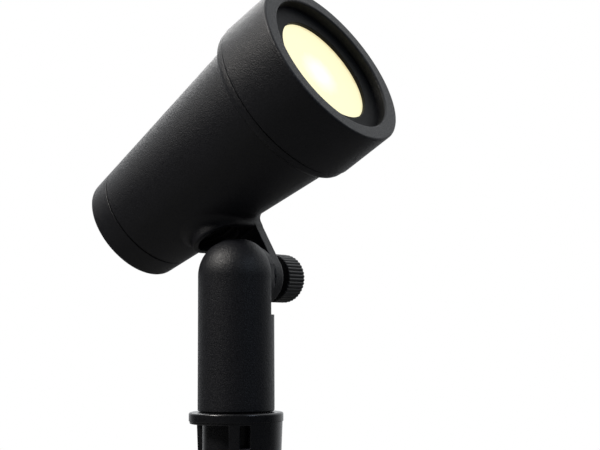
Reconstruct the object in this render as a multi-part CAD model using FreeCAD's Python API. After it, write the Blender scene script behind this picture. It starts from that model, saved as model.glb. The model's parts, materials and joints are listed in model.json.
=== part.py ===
"""Garden spike spotlight: a die-cast head on a knuckle stem, screwed into a ground spike.

Millimetres. The origin is on the stem's axis, at the underside of the spike's flange, where
the spike enters the ground. +Z is up, +X is the way the lamp head aims, and +Y is the side
that the thumb screw is on. The head is drawn level in a frame of its own, whose origin is the
tilt pivot and whose X runs along the beam, and is then pitched up to its resting angle.
"""
import FreeCAD, Part
import math
import os

V = FreeCAD.Vector
ORIGIN = V(0, 0, 0)
X = V(1, 0, 0)
Y = V(0, 1, 0)
Z = V(0, 0, 1)

# ---- fits and gaps shared by several pieces ----
RUNNING_GAP = 0.05          # radial, a shaft or thread in its hole
SEAM_GAP = 0.30             # shadow line between two outer castings
SWIVEL_GAP = 0.20           # stem foot above the spike's flange
SHIM_GAP = 0.05             # between flat faces that turn on each other
BUSH_GAP = 0.02             # radial, a piece pressed or moulded into its seat
CUT_BEYOND = 1.0            # how far a cutting shape runs past the face it opens
NEARLY = 0.01               # a point this close to a surface is on it
SAME_POINT = 1e-6           # corners closer than this need no edge between them

# ---- ground spike ----
FLANGE_RADIUS = 18.05
FLANGE_THICKNESS = 3.4
FLANGE_EDGE_ROUND = 0.8
SKIRT_TOP_RADIUS = 17.75
SKIRT_TAPER_DEG = 2.4
SKIRT_LENGTH = 42.0
SKIRT_WALL = 2.9
SKIRT_FLOOR = 3.0
SOCKET_OUTER_RADIUS = 12.8
SOCKET_DEPTH = 14.0
SOCKET_SKIN = 0.2           # the cable slots stop this far outside the socket
CABLE_SLOT_AZIMUTHS = (188.3, 299.2)    # degrees from +X, the wide window the cable leaves by
CABLE_SLOT_HEIGHT = 24.0
TIE_SLOT_AZIMUTHS = (312.8, 325.6)      # degrees, the narrow slot beside it
TIE_SLOT_HEIGHT = 8.4
SLOT_TOP_DROP = 0.9         # flange underside to the slots' upper edge
SPIKE_LENGTH = 205.0        # flange underside to the tip
FIN_THICKNESS = 3.2
FIN_TOP_INSET = 1.2         # fins stand this far inside the skirt's foot
FIN_FOOT_HALF_WIDTH = 4.2
POINT_LENGTH = 14.0
POINT_HALF_WIDTH = 0.9
CORE_RADIUS = 3.0
CORE_ROOTED = 0.7           # share of the skirt's floor that the core runs up into

# ---- threaded nipple between the stem and the spike ----
NIPPLE_RADIUS = 10.4
NIPPLE_BORE_RADIUS = 7.6
NIPPLE_IN_SPIKE = 10.0
NIPPLE_IN_STEM = 15.0

# ---- stem ----
PIVOT_ABOVE_FLANGE = 51.8
STEM_RADIUS = 14.65
STEM_FOOT_RADIUS = 14.75
STEM_FOOT_ROUND = 1.0
STEM_CORE_RADIUS = 8.2
STEM_CORE_BELOW_PIVOT = 15.0
FLAT_Y = 3.8                # knob side of the stem is cut flat here
FLAT_BELOW_PIVOT = 14.8
BOSS_RADIUS = 12.4
CABLE_HOLE_RADIUS = 3.0
CABLE_HOLE_Y = -2.0
GROMMET_SEAT_RADIUS = 3.6
GROMMET_LENGTH = 4.0
GROMMET_TOP_DROP = 0.9      # grommet's top below the dome's crown
GROMMET_LIP = 0.8
GROMMET_BORE_RADIUS = 2.3

# ---- radial teeth that lock the tilt ----
TEETH_COUNT = 24
TOOTH_HEIGHT = 0.75
TOOTH_INNER_RADIUS = 7.0
TOOTH_FILL = 0.94           # share of the pitch that a tooth's root covers
TOOTH_ROOT = 0.30           # depth that each tooth is rooted in its face
TOOTH_EDGE_INSET = 0.10
TOOTH_CREST_GAP = 0.15      # the screw is just slack, so the crests pass each other
TEETH_MIDPLANE_Y = 10.4

# ---- head: body casting ----
HEAD_PITCH_DEG = 30.0
HEAD_AXIS_HEIGHT = 46.1     # beam axis above the pivot, square to the beam
HEAD_AXIS_Y = 2.7
HEAD_REAR_X = -38.0
HEAD_REAR_RADIUS = 22.5
HEAD_REAR_ROUND = 2.2
HEAD_CONE_SLOPE = 0.0983    # radius gained per millimetre along the beam
REAR_SEAM_X = -26.6
COLLAR_BACK_X = 49.4
COLLAR_STEP = 0.4           # collar inside the cowl's outside
COLLAR_ROUND = 2.6
COWL_SEAM_X = 53.6
HEAD_WALL = 3.2
SPIGOT_WALL = 4.45
SPIGOT_LENGTH = 12.9
REAR_BORE_RADIUS = 19.6
REAR_BORE_DEPTH = 10.4
ORING_SECTION_RADIUS = 0.85
ORING_GROOVE_WIDTH = 2.2
ORING_GROOVE_OFFSET = 1.2
ORING_SLACK = 0.01          # off the section, so the ring only just clears its groove

# ---- head: hood and ear of the knuckle ----
KNUCKLE_HALF_WIDTH = 10.9   # hood's radius, and the ear's
HOOD_RECESS_WALL = 2.3
HOOD_RECESS_DEPTH = 4.35
HOOD_ROOF = 1.7             # metal between the recess and the chamber
HOOD_RIM_ROUND = 0.8
HOOD_BLEND = 2.0            # concave fillet up into the barrel
EAR_THICKNESS = 5.275
EAR_EDGE_ROUND = 1.0

# ---- rear cap ----
CAP_WALL = 4.0
CAP_SPIGOT_WALL = 3.4
CAP_INNER_ROUND = 2.0

# ---- cowl and lens pack ----
COWL_WALL = 3.9
COWL_FRONT_X = 77.1
COWL_LIP = 2.3              # how far the front lip reaches in over the mask
COWL_RECESS_DEPTH = 4.15
COWL_RIM_ROUND = 0.9
COWL_FOOT_ROUND = 0.4
MASK_EDGE_GAP = 0.4
MASK_APERTURE_RADIUS = 21.75
MASK_THICKNESS = 1.4
MASK_EDGE_ROUND = 0.35
LENS_EDGE_GAP = 0.6
LENS_EDGE_ROUND = 0.4
LENS_THICKNESS = 3.2
GASKET_BEYOND_LAMP = 2.4
GASKET_THICKNESS = 1.15

# ---- lamp, two-pin reflector type ----
LAMP_RADIUS = 24.8
LAMP_CLEARANCE = 1.7        # radial, lamp in the chamber
LAMP_LENGTH = 32.0
LAMP_NECK_RADIUS = 8.6
LAMP_WALL = 1.4
LAMP_RIM_LENGTH = 3.0
LAMP_FACE_THICKNESS = 1.5
LAMP_FACE_INSET = 0.6
LAMP_FACE_ROUND = 0.4
LAMP_BULGE_AT = 0.35        # share of the length at which the bowl's middle point lies
LAMP_BULGE_OUT = 0.66       # share of the way out from neck to rim there
LAMP_BEHIND_LENS = 0.8
BASE_LENGTH = 11.0
BASE_WIDTH = 14.0
BASE_DEPTH = 11.0
PIN_RADIUS = 0.75
PIN_SPACING = 5.3
PIN_LENGTH = 6.5
PIN_SOCKET_SPARE = 0.5      # the sockets are this much deeper than the pins
HOLDER_LENGTH = 9.0
HOLDER_WIDTH = 22.0
HOLDER_DEPTH = 13.0
HOLDER_CORNER = 2.5

# ---- bracket that carries the lamp holder ----
BRACKET_THICKNESS = 1.5
BRACKET_WIDTH = 12.0
BRACKET_SPAN = 40.0
BRACKET_SLOT_RADIUS = 3.4
LUG_LENGTH = 8.0
LUG_WIDTH = 7.0
LUG_INNER_Y = 13.5
BRACKET_SCREW_Y = 16.8
SCREW_RADIUS = 1.45
SCREW_HEAD_RADIUS = 2.8
SCREW_HEAD_HEIGHT = 1.8
SCREW_HEAD_ROUND = 0.9
SCREW_LENGTH = 6.0
SCREW_CLEARANCE = 0.25

# ---- thumb screw ----
SHANK_RADIUS = 3.0
SHANK_TIP_Y = 3.0
SHANK_TIP_CHAMFER = 0.6
TAPPED_HOLE_END_Y = 2.0
EAR_HOLE_RADIUS = 3.3
WASHER_RADIUS = 7.6
WASHER_THICKNESS = 1.2
WASHER_EDGE_ROUND = 0.3
KNOB_NECK_RADIUS = 6.0
KNOB_NECK_LENGTH = 4.0
KNOB_RADIUS = 9.65
KNOB_LENGTH = 11.0
KNOB_END_ROUND = 1.4
KNOB_BACK_ROUND = 0.5
KNOB_RIBS = 40
KNOB_RIB_DEPTH = 0.45
KNOB_GROOVE_SHARE = 0.34    # groove's radius as a share of the rib pitch
KNOB_PLAIN_END = 0.84       # knob's front end, left without ribs
KNOB_SHANK_SOCKET = 7.0

# ---- worked out from the sizes above ----
PIVOT_Z = FLANGE_THICKNESS + PIVOT_ABOVE_FLANGE
STEM_FOOT_Z = FLANGE_THICKNESS + SWIVEL_GAP
GROMMET_TOP_Z = PIVOT_Z + STEM_RADIUS - GROMMET_TOP_DROP
BOSS_END_Y = TEETH_MIDPLANE_Y - TOOTH_CREST_GAP / 2 - TOOTH_HEIGHT
EAR_INNER_Y = TEETH_MIDPLANE_Y + TOOTH_CREST_GAP / 2 + TOOTH_HEIGHT
EAR_OUTER_Y = EAR_INNER_Y + EAR_THICKNESS
WASHER_OUTER_Y = EAR_OUTER_Y + SHIM_GAP + WASHER_THICKNESS
KNOB_BACK_Y = WASHER_OUTER_Y + SHIM_GAP + KNOB_NECK_LENGTH
KNOB_FRONT_Y = KNOB_BACK_Y + KNOB_LENGTH
CHAMBER_RADIUS = LAMP_RADIUS + LAMP_CLEARANCE
SPIGOT_FRONT_X = COWL_SEAM_X + SPIGOT_LENGTH
SPIGOT_RADIUS = CHAMBER_RADIUS + SPIGOT_WALL
COWL_INNER_RADIUS = SPIGOT_RADIUS + RUNNING_GAP
COWL_RADIUS = COWL_INNER_RADIUS + COWL_WALL
COWL_BORE_RADIUS = COWL_INNER_RADIUS - COWL_LIP
COLLAR_RADIUS = COWL_RADIUS - COLLAR_STEP
MASK_RADIUS = COWL_INNER_RADIUS - MASK_EDGE_GAP
LENS_RADIUS = COWL_INNER_RADIUS - LENS_EDGE_GAP
GASKET_INNER_RADIUS = LAMP_RADIUS + GASKET_BEYOND_LAMP
HOOD_RECESS_TOP = (HEAD_AXIS_HEIGHT - (HEAD_REAR_RADIUS - HEAD_CONE_SLOPE * HEAD_REAR_X - HEAD_WALL)
                   - HOOD_ROOF)
HOOD_HEIGHT = HOOD_RECESS_TOP - HOOD_RECESS_DEPTH     # hood's rim above the pivot
REAR_SHOULDER_X = REAR_SEAM_X + REAR_BORE_DEPTH
MASK_FRONT_X = COWL_FRONT_X - COWL_RECESS_DEPTH - SHIM_GAP
LENS_FRONT_X = MASK_FRONT_X - MASK_THICKNESS
GASKET_FRONT_X = LENS_FRONT_X - LENS_THICKNESS
LAMP_FRONT_X = GASKET_FRONT_X - LAMP_BEHIND_LENS
LAMP_BACK_X = LAMP_FRONT_X - LAMP_LENGTH
BASE_BACK_X = LAMP_BACK_X - BASE_LENGTH
HOLDER_BACK_X = BASE_BACK_X - HOLDER_LENGTH
BRACKET_BACK_X = HOLDER_BACK_X - BRACKET_THICKNESS


def cone_radius(x):
    """Outer radius of the tapered body at a station along the beam."""
    return HEAD_REAR_RADIUS + HEAD_CONE_SLOPE * (x - HEAD_REAR_X)


def rounded_outline(corners, place):
    """Closed wire through (a, b) or (a, b, radius) corners, each radius a tangent arc."""
    flat = [V(corner[0], corner[1], 0) for corner in corners]
    radii = [corner[2] if len(corner) > 2 else 0.0 for corner in corners]
    count = len(flat)
    entries = []
    exits = []
    mids = []
    for i, here in enumerate(flat):
        if radii[i] == 0.0:
            entries.append(here)
            exits.append(here)
            mids.append(None)
            continue
        back = (flat[i - 1] - here).normalize()
        ahead = (flat[(i + 1) % count] - here).normalize()
        half = back.getAngle(ahead) / 2
        reach = radii[i] / math.tan(half)
        bisector = (back + ahead).normalize()
        centre = here + bisector * (radii[i] / math.sin(half))
        entries.append(here + back * reach)
        exits.append(here + ahead * reach)
        mids.append(centre - bisector * radii[i])
    edges = []
    for i in range(count):
        if mids[i] is not None:
            arc = Part.Arc(place(entries[i]), place(mids[i]), place(exits[i]))
            edges.append(arc.toShape())
        following = entries[(i + 1) % count]
        if (following - exits[i]).Length > SAME_POINT:
            edges.append(Part.LineSegment(place(exits[i]), place(following)).toShape())
    return Part.Wire(edges)


def turned(corners, base, axis, radial):
    """Solid of revolution: corners give (distance along the axis, radius, corner round)."""
    wire = rounded_outline(corners, lambda p: base + axis * p.x + radial * p.y)
    return Part.Face(wire).revolve(base, axis, 360)


def box_between(low, high):
    """Box from its low corner to its high corner."""
    return Part.makeBox(high[0] - low[0], high[1] - low[1], high[2] - low[2], V(*low))


def sector(start_deg, end_deg, radius, low_z, high_z):
    """Pie slice about the Z axis, for cutting windows in a round wall."""
    slice_solid = Part.makeCylinder(radius, high_z - low_z, V(0, 0, low_z), Z, end_deg - start_deg)
    slice_solid.rotate(ORIGIN, Z, start_deg)
    return slice_solid


def teeth_ring(outer_radius, phase):
    """Ring of radial ridges that rise along +Y from the plane y = 0, turned by a share of a pitch."""
    half_width = math.tan(math.pi / TEETH_COUNT) * TOOTH_FILL
    ridges = []
    for index in range(TEETH_COUNT):
        turn = 2 * math.pi * (index + phase) / TEETH_COUNT
        outward = V(math.cos(turn), 0, math.sin(turn))
        across = V(-math.sin(turn), 0, math.cos(turn))
        wires = []
        for radius in (TOOTH_INNER_RADIUS, outer_radius):
            height = TOOTH_HEIGHT * radius / outer_radius
            corners = []
            for share, rise in ((-1, -TOOTH_ROOT), (-1, 0.0), (0, height),
                                (1, 0.0), (1, -TOOTH_ROOT)):
                corners.append(outward * radius + across * (share * half_width * radius) + Y * rise)
            wires.append(Part.makePolygon(corners + corners[:1]))
        ridges.append(Part.makeLoft(wires, True, True))
    return ridges


# ---------------------------------------------------------------- ground spike
def spike_fin():
    """One tapered blade across the spike, in the XZ plane."""
    top_z = -SKIRT_LENGTH + SKIRT_FLOOR / 2
    foot_z = -SPIKE_LENGTH + POINT_LENGTH
    top_half = skirt_radius(-SKIRT_LENGTH) - FIN_TOP_INSET
    outline = [(-top_half, top_z), (top_half, top_z), (FIN_FOOT_HALF_WIDTH, foot_z),
               (POINT_HALF_WIDTH, -SPIKE_LENGTH), (-POINT_HALF_WIDTH, -SPIKE_LENGTH),
               (-FIN_FOOT_HALF_WIDTH, foot_z)]
    corners = [V(x, -FIN_THICKNESS / 2, z) for x, z in outline]
    return Part.Face(Part.makePolygon(corners + corners[:1])).extrude(V(0, FIN_THICKNESS, 0))


def skirt_radius(z):
    """Outer radius of the skirt at a height z below the flange."""
    return SKIRT_TOP_RADIUS + z * math.tan(math.radians(SKIRT_TAPER_DEG))


def spike_stake():
    """Moulded spike: flange, hollow skirt with cable slots, thread socket and crossed fins."""
    flange = turned([(0, 0), (FLANGE_THICKNESS, 0),
                     (FLANGE_THICKNESS, FLANGE_RADIUS, FLANGE_EDGE_ROUND),
                     (0, FLANGE_RADIUS)], ORIGIN, Z, X)
    foot = skirt_radius(-SKIRT_LENGTH)
    floor_z = -SKIRT_LENGTH + SKIRT_FLOOR
    skirt = turned([(-SKIRT_LENGTH, 0), (0, 0), (0, SKIRT_TOP_RADIUS), (-SKIRT_LENGTH, foot)],
                   ORIGIN, Z, X)
    hollow = turned([(floor_z, 0), (-SOCKET_DEPTH, 0),
                     (-SOCKET_DEPTH, SOCKET_OUTER_RADIUS), (0, SOCKET_OUTER_RADIUS),
                     (0, SKIRT_TOP_RADIUS - SKIRT_WALL),
                     (floor_z, skirt_radius(floor_z) - SKIRT_WALL)], ORIGIN, Z, X)
    shell = flange.fuse(skirt).cut(hollow)
    windows = []
    for azimuths, height in ((CABLE_SLOT_AZIMUTHS, CABLE_SLOT_HEIGHT),
                             (TIE_SLOT_AZIMUTHS, TIE_SLOT_HEIGHT)):
        outer = sector(azimuths[0], azimuths[1], FLANGE_RADIUS + CUT_BEYOND,
                       -SLOT_TOP_DROP - height, -SLOT_TOP_DROP)
        keep = Part.makeCylinder(SOCKET_OUTER_RADIUS + SOCKET_SKIN, SOCKET_DEPTH + CUT_BEYOND,
                                 V(0, 0, -SOCKET_DEPTH - CUT_BEYOND))
        windows.append(outer.cut(keep))
    socket = Part.makeCylinder(NIPPLE_RADIUS + RUNNING_GAP,
                               SOCKET_DEPTH + FLANGE_THICKNESS + 2 * CUT_BEYOND,
                               V(0, 0, -SOCKET_DEPTH - CUT_BEYOND))
    shell = shell.cut(windows + [socket])
    blade = spike_fin()
    cross_blade = spike_fin()
    cross_blade.rotate(ORIGIN, Z, 90)
    core_foot_z = -SPIKE_LENGTH + POINT_LENGTH / 2
    core_top_z = -SKIRT_LENGTH + SKIRT_FLOOR * CORE_ROOTED
    core = Part.makeCone(POINT_HALF_WIDTH, CORE_RADIUS, core_top_z - core_foot_z, V(0, 0, core_foot_z))
    return shell.fuse([blade, cross_blade, core]).removeSplitter()


# ---------------------------------------------------------------- stem
def thread_nipple():
    """Hollow threaded tube, tight in the stem and turning in the spike's socket."""
    return turned([(-NIPPLE_IN_SPIKE + FLANGE_THICKNESS, NIPPLE_BORE_RADIUS),
                   (STEM_FOOT_Z + NIPPLE_IN_STEM, NIPPLE_BORE_RADIUS),
                   (STEM_FOOT_Z + NIPPLE_IN_STEM, NIPPLE_RADIUS),
                   (-NIPPLE_IN_SPIKE + FLANGE_THICKNESS, NIPPLE_RADIUS)], ORIGIN, Z, X)


def stem_casting():
    """Round stem with a domed top, a flat on the knob side and a toothed barrel boss."""
    shaft = turned([(STEM_FOOT_Z, 0), (PIVOT_Z, 0), (PIVOT_Z, STEM_RADIUS),
                    (STEM_FOOT_Z, STEM_FOOT_RADIUS, STEM_FOOT_ROUND)], ORIGIN, Z, X)
    dome = Part.makeSphere(STEM_RADIUS, V(0, 0, PIVOT_Z), Z, 0, 90, 360)
    body = shaft.fuse(dome)
    beyond_flat = box_between((-2 * STEM_RADIUS, FLAT_Y, PIVOT_Z - FLAT_BELOW_PIVOT),
                              (2 * STEM_RADIUS, 2 * STEM_RADIUS, PIVOT_Z + 2 * STEM_RADIUS))
    body = body.cut(beyond_flat)
    boss = Part.makeCylinder(BOSS_RADIUS, BOSS_END_Y, V(0, 0, PIVOT_Z), Y)
    stem_round = Part.makeCylinder(STEM_RADIUS, 2 * STEM_RADIUS, V(0, 0, PIVOT_Z - STEM_RADIUS))
    ridges = teeth_ring(BOSS_RADIUS - TOOTH_EDGE_INSET, 0.0)
    for ridge in ridges:
        ridge.translate(V(0, BOSS_END_Y, PIVOT_Z))
    body = body.fuse(boss.fuse(ridges).common(stem_round))
    nipple_seat = Part.makeCylinder(NIPPLE_RADIUS + RUNNING_GAP, NIPPLE_IN_STEM + CUT_BEYOND,
                                    V(0, 0, STEM_FOOT_Z - CUT_BEYOND))
    core_top = PIVOT_Z - STEM_CORE_BELOW_PIVOT
    core = Part.makeCylinder(STEM_CORE_RADIUS, core_top - STEM_FOOT_Z, V(0, 0, STEM_FOOT_Z))
    cable_hole = Part.makeCylinder(CABLE_HOLE_RADIUS, 2 * STEM_RADIUS + STEM_CORE_BELOW_PIVOT,
                                   V(0, CABLE_HOLE_Y, core_top - CUT_BEYOND))
    seat = Part.makeCylinder(GROMMET_SEAT_RADIUS, STEM_RADIUS,
                             V(0, CABLE_HOLE_Y, GROMMET_TOP_Z - GROMMET_LENGTH))
    tapped_hole = Part.makeCylinder(SHANK_RADIUS + RUNNING_GAP, STEM_RADIUS,
                                    V(0, TAPPED_HOLE_END_Y, PIVOT_Z), Y)
    return body.cut([nipple_seat, core, cable_hole, seat, tapped_hole]).removeSplitter()


def stem_grommet():
    """Rubber bush where the cable leaves the top of the stem."""
    outer = GROMMET_SEAT_RADIUS - BUSH_GAP
    plug = turned([(-GROMMET_LENGTH, GROMMET_BORE_RADIUS), (0, GROMMET_BORE_RADIUS),
                   (0, outer, GROMMET_LIP), (-GROMMET_LENGTH, outer)], ORIGIN, Z, X)
    plug.translate(V(0, CABLE_HOLE_Y, GROMMET_TOP_Z))
    return plug


# ---------------------------------------------------------------- head, drawn level about its pivot
def on_beam(corners):
    """Solid of revolution about the beam's axis, in the level head frame."""
    return turned(corners, V(0, HEAD_AXIS_Y, HEAD_AXIS_HEIGHT), X, Z)


def pitched(shape):
    """Turn a level head piece up to its resting angle and lift it to the pivot."""
    shape.rotate(ORIGIN, V(0, -1, 0), HEAD_PITCH_DEG)
    shape.translate(V(0, 0, PIVOT_Z))
    return shape


def knuckle_block():
    """Hood and ear of one width: the hood round at its far end, the ear round about the pivot."""
    width = KNUCKLE_HALF_WIDTH
    top_z = HEAD_AXIS_HEIGHT - HEAD_WALL
    plan = Part.Wire([
        Part.Arc(V(-width, 0, HOOD_HEIGHT), V(0, -width, HOOD_HEIGHT), V(width, 0, HOOD_HEIGHT)).toShape(),
        Part.LineSegment(V(width, 0, HOOD_HEIGHT), V(width, EAR_OUTER_Y, HOOD_HEIGHT)).toShape(),
        Part.LineSegment(V(width, EAR_OUTER_Y, HOOD_HEIGHT), V(-width, EAR_OUTER_Y, HOOD_HEIGHT)).toShape(),
        Part.LineSegment(V(-width, EAR_OUTER_Y, HOOD_HEIGHT), V(-width, 0, HOOD_HEIGHT)).toShape()])
    hood = Part.Face(plan).extrude(V(0, 0, top_z - HOOD_HEIGHT))
    y = EAR_INNER_Y
    outline = Part.Wire([
        Part.Arc(V(-width, y, 0), V(0, y, -width), V(width, y, 0)).toShape(),
        Part.LineSegment(V(width, y, 0), V(width, y, top_z)).toShape(),
        Part.LineSegment(V(width, y, top_z), V(-width, y, top_z)).toShape(),
        Part.LineSegment(V(-width, y, top_z), V(-width, y, 0)).toShape()])
    ear = Part.Face(outline).extrude(V(0, EAR_THICKNESS, 0))
    block = hood.fuse(ear).removeSplitter()
    outer_edges = [edge for edge in block.Edges
                   if all(abs(v.Point.y - EAR_OUTER_Y) < NEARLY for v in edge.Vertexes)
                   and edge.CenterOfMass.z < top_z - NEARLY]
    block = block.makeFillet(EAR_EDGE_ROUND, outer_edges)
    rim = [edge for edge in block.Edges
           if all(abs(v.Point.z - HOOD_HEIGHT) < NEARLY for v in edge.Vertexes)
           and edge.CenterOfMass.y < -NEARLY]
    return block.makeFillet(HOOD_RIM_ROUND, rim)


def on_cone(point):
    """Whether a point of the level head frame lies on the tapered body's outside."""
    radius = math.hypot(point.y - HEAD_AXIS_Y, point.z - HEAD_AXIS_HEIGHT)
    return abs(radius - cone_radius(point.x)) < NEARLY


def blend_into_barrel(body):
    """Concave fillet where the knuckle's block meets the tapered body."""
    junction = []
    for edge in body.Edges:
        points = edge.discretize(5)
        under = all(p.z < HEAD_AXIS_HEIGHT - CHAMBER_RADIUS / 2 for p in points)
        near = all(abs(p.x) < KNUCKLE_HALF_WIDTH + NEARLY for p in points)
        if under and near and all(on_cone(p) for p in points):
            junction.append(edge)
    return body.makeFillet(HOOD_BLEND, junction)


def head_housing():
    """Body casting: tapered barrel, collar, cowl spigot, knuckle hood and toothed ear."""
    rear_x = REAR_SEAM_X + SEAM_GAP
    groove_back = COWL_SEAM_X + ORING_GROOVE_OFFSET
    groove_front = groove_back + ORING_GROOVE_WIDTH
    groove_radius = SPIGOT_RADIUS - 2 * ORING_SECTION_RADIUS
    barrel = on_beam([(rear_x, 0), (rear_x, cone_radius(rear_x)),
                      (COLLAR_BACK_X, cone_radius(COLLAR_BACK_X)),
                      (COLLAR_BACK_X, COLLAR_RADIUS, COLLAR_ROUND),
                      (COWL_SEAM_X, COLLAR_RADIUS), (COWL_SEAM_X, SPIGOT_RADIUS),
                      (groove_back, SPIGOT_RADIUS), (groove_back, groove_radius),
                      (groove_front, groove_radius), (groove_front, SPIGOT_RADIUS),
                      (SPIGOT_FRONT_X, SPIGOT_RADIUS), (SPIGOT_FRONT_X, 0)])
    bend_x = HEAD_REAR_X + (CHAMBER_RADIUS + HEAD_WALL - HEAD_REAR_RADIUS) / HEAD_CONE_SLOPE
    cavity = on_beam([(rear_x - CUT_BEYOND, 0), (rear_x - CUT_BEYOND, REAR_BORE_RADIUS),
                      (REAR_SHOULDER_X, REAR_BORE_RADIUS),
                      (REAR_SHOULDER_X, REAR_BORE_RADIUS - HEAD_WALL / 2),
                      (REAR_SHOULDER_X + HEAD_WALL / 2, REAR_BORE_RADIUS - HEAD_WALL / 2),
                      (REAR_SHOULDER_X + HEAD_WALL / 2, cone_radius(REAR_SHOULDER_X) - HEAD_WALL),
                      (bend_x, CHAMBER_RADIUS), (SPIGOT_FRONT_X + CUT_BEYOND, CHAMBER_RADIUS),
                      (SPIGOT_FRONT_X + CUT_BEYOND, 0)])
    recess = Part.makeCylinder(KNUCKLE_HALF_WIDTH - HOOD_RECESS_WALL, HOOD_RECESS_DEPTH + CUT_BEYOND,
                               V(0, 0, HOOD_HEIGHT - CUT_BEYOND))
    cable_hole = Part.makeCylinder(CABLE_HOLE_RADIUS + BUSH_GAP, HEAD_AXIS_HEIGHT - HOOD_HEIGHT,
                                   V(0, CABLE_HOLE_Y, HOOD_HEIGHT))
    screw_hole = Part.makeCylinder(EAR_HOLE_RADIUS, EAR_THICKNESS + 2 * CUT_BEYOND,
                                   V(0, EAR_INNER_Y - CUT_BEYOND, 0), Y)
    outside = blend_into_barrel(barrel.fuse(knuckle_block()).removeSplitter())
    body = outside.cut([cavity, recess, screw_hole])
    lugs = []
    for side in (-1, 1):
        reach = cone_radius(BRACKET_BACK_X - LUG_LENGTH) - HEAD_WALL / 2
        ends = sorted((HEAD_AXIS_Y + side * LUG_INNER_Y, HEAD_AXIS_Y + side * reach))
        lug = box_between((BRACKET_BACK_X - LUG_LENGTH, ends[0], HEAD_AXIS_HEIGHT - LUG_WIDTH / 2),
                          (BRACKET_BACK_X, ends[1], HEAD_AXIS_HEIGHT + LUG_WIDTH / 2))
        hole = Part.makeCylinder(SCREW_RADIUS + RUNNING_GAP, SCREW_LENGTH,
                                 V(BRACKET_BACK_X - SCREW_LENGTH + CUT_BEYOND,
                                   HEAD_AXIS_Y + side * BRACKET_SCREW_Y, HEAD_AXIS_HEIGHT), X)
        lugs.append(lug.cut(hole))
    ridges = teeth_ring(KNUCKLE_HALF_WIDTH - TOOTH_EDGE_INSET, 0.5)
    for ridge in ridges:
        ridge.rotate(ORIGIN, X, 180)
        ridge.translate(V(0, EAR_INNER_Y, 0))
    body = body.fuse(lugs + ridges).cut(cable_hole)
    return pitched(body.removeSplitter())


def rear_cap():
    """Domed-edge cap that screws into the back of the barrel."""
    spigot_radius = REAR_BORE_RADIUS - RUNNING_GAP
    groove_back = REAR_SEAM_X + ORING_GROOVE_OFFSET
    groove_front = groove_back + ORING_GROOVE_WIDTH
    groove_radius = spigot_radius - 2 * ORING_SECTION_RADIUS
    hollow_radius = spigot_radius - CAP_SPIGOT_WALL
    return pitched(on_beam([(HEAD_REAR_X, 0), (HEAD_REAR_X, HEAD_REAR_RADIUS, HEAD_REAR_ROUND),
                            (REAR_SEAM_X, cone_radius(REAR_SEAM_X)), (REAR_SEAM_X, spigot_radius),
                            (groove_back, spigot_radius), (groove_back, groove_radius),
                            (groove_front, groove_radius), (groove_front, spigot_radius),
                            (REAR_SHOULDER_X, spigot_radius), (REAR_SHOULDER_X, hollow_radius),
                            (HEAD_REAR_X + CAP_WALL, hollow_radius, CAP_INNER_ROUND),
                            (HEAD_REAR_X + CAP_WALL, 0)]))


def seal_ring(seam_x, outer_radius):
    """O-ring in the groove just ahead of a seam."""
    ring_x = seam_x + ORING_GROOVE_OFFSET + ORING_GROOVE_WIDTH / 2
    return pitched(Part.makeTorus(outer_radius - ORING_SECTION_RADIUS, ORING_SECTION_RADIUS - ORING_SLACK,
                                  V(ring_x, HEAD_AXIS_Y, HEAD_AXIS_HEIGHT), X))


def hood_grommet():
    """Rubber bush where the cable enters the head, up inside the hood."""
    lip_z = HOOD_HEIGHT + HOOD_RECESS_DEPTH - SHIM_GAP
    lip = CABLE_HOLE_RADIUS + GROMMET_LIP
    return pitched(turned([(lip_z - GROMMET_LIP, GROMMET_BORE_RADIUS),
                           (lip_z - GROMMET_LIP, lip, GROMMET_LIP / 2), (lip_z, lip),
                           (lip_z, CABLE_HOLE_RADIUS), (lip_z + HEAD_WALL / 2, CABLE_HOLE_RADIUS),
                           (lip_z + HEAD_WALL / 2, GROMMET_BORE_RADIUS)],
                          V(0, CABLE_HOLE_Y, 0), Z, X))


# ---------------------------------------------------------------- lamp and its carrier
def lamp_body():
    """Bowl-shaped reflector with a short cylindrical rim and a closed neck."""
    rim_back = LAMP_FRONT_X - LAMP_RIM_LENGTH
    middle_x = LAMP_BACK_X + LAMP_BULGE_AT * LAMP_LENGTH
    middle_radius = LAMP_NECK_RADIUS + LAMP_BULGE_OUT * (LAMP_RADIUS - LAMP_NECK_RADIUS)
    beam = V(0, HEAD_AXIS_Y, HEAD_AXIS_HEIGHT)

    def at(x, radius):
        return beam + X * x + Z * radius

    neck_floor = LAMP_BACK_X + 2 * LAMP_WALL
    outer = Part.Arc(at(LAMP_BACK_X, LAMP_NECK_RADIUS), at(middle_x, middle_radius),
                     at(rim_back, LAMP_RADIUS)).toShape()
    inner = Part.Arc(at(rim_back, LAMP_RADIUS - LAMP_WALL),
                     at(middle_x + LAMP_WALL, middle_radius - LAMP_WALL),
                     at(neck_floor, LAMP_NECK_RADIUS - LAMP_WALL)).toShape()
    edges = [Part.LineSegment(at(LAMP_BACK_X, 0), at(LAMP_BACK_X, LAMP_NECK_RADIUS)).toShape(),
             outer,
             Part.LineSegment(at(rim_back, LAMP_RADIUS), at(LAMP_FRONT_X, LAMP_RADIUS)).toShape(),
             Part.LineSegment(at(LAMP_FRONT_X, LAMP_RADIUS),
                              at(LAMP_FRONT_X, LAMP_RADIUS - LAMP_WALL)).toShape(),
             Part.LineSegment(at(LAMP_FRONT_X, LAMP_RADIUS - LAMP_WALL),
                              at(rim_back, LAMP_RADIUS - LAMP_WALL)).toShape(),
             inner,
             Part.LineSegment(at(neck_floor, LAMP_NECK_RADIUS - LAMP_WALL), at(neck_floor, 0)).toShape(),
             Part.LineSegment(at(neck_floor, 0), at(LAMP_BACK_X, 0)).toShape()]
    return pitched(Part.Face(Part.Wire(edges)).revolve(beam, X, 360))


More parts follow.
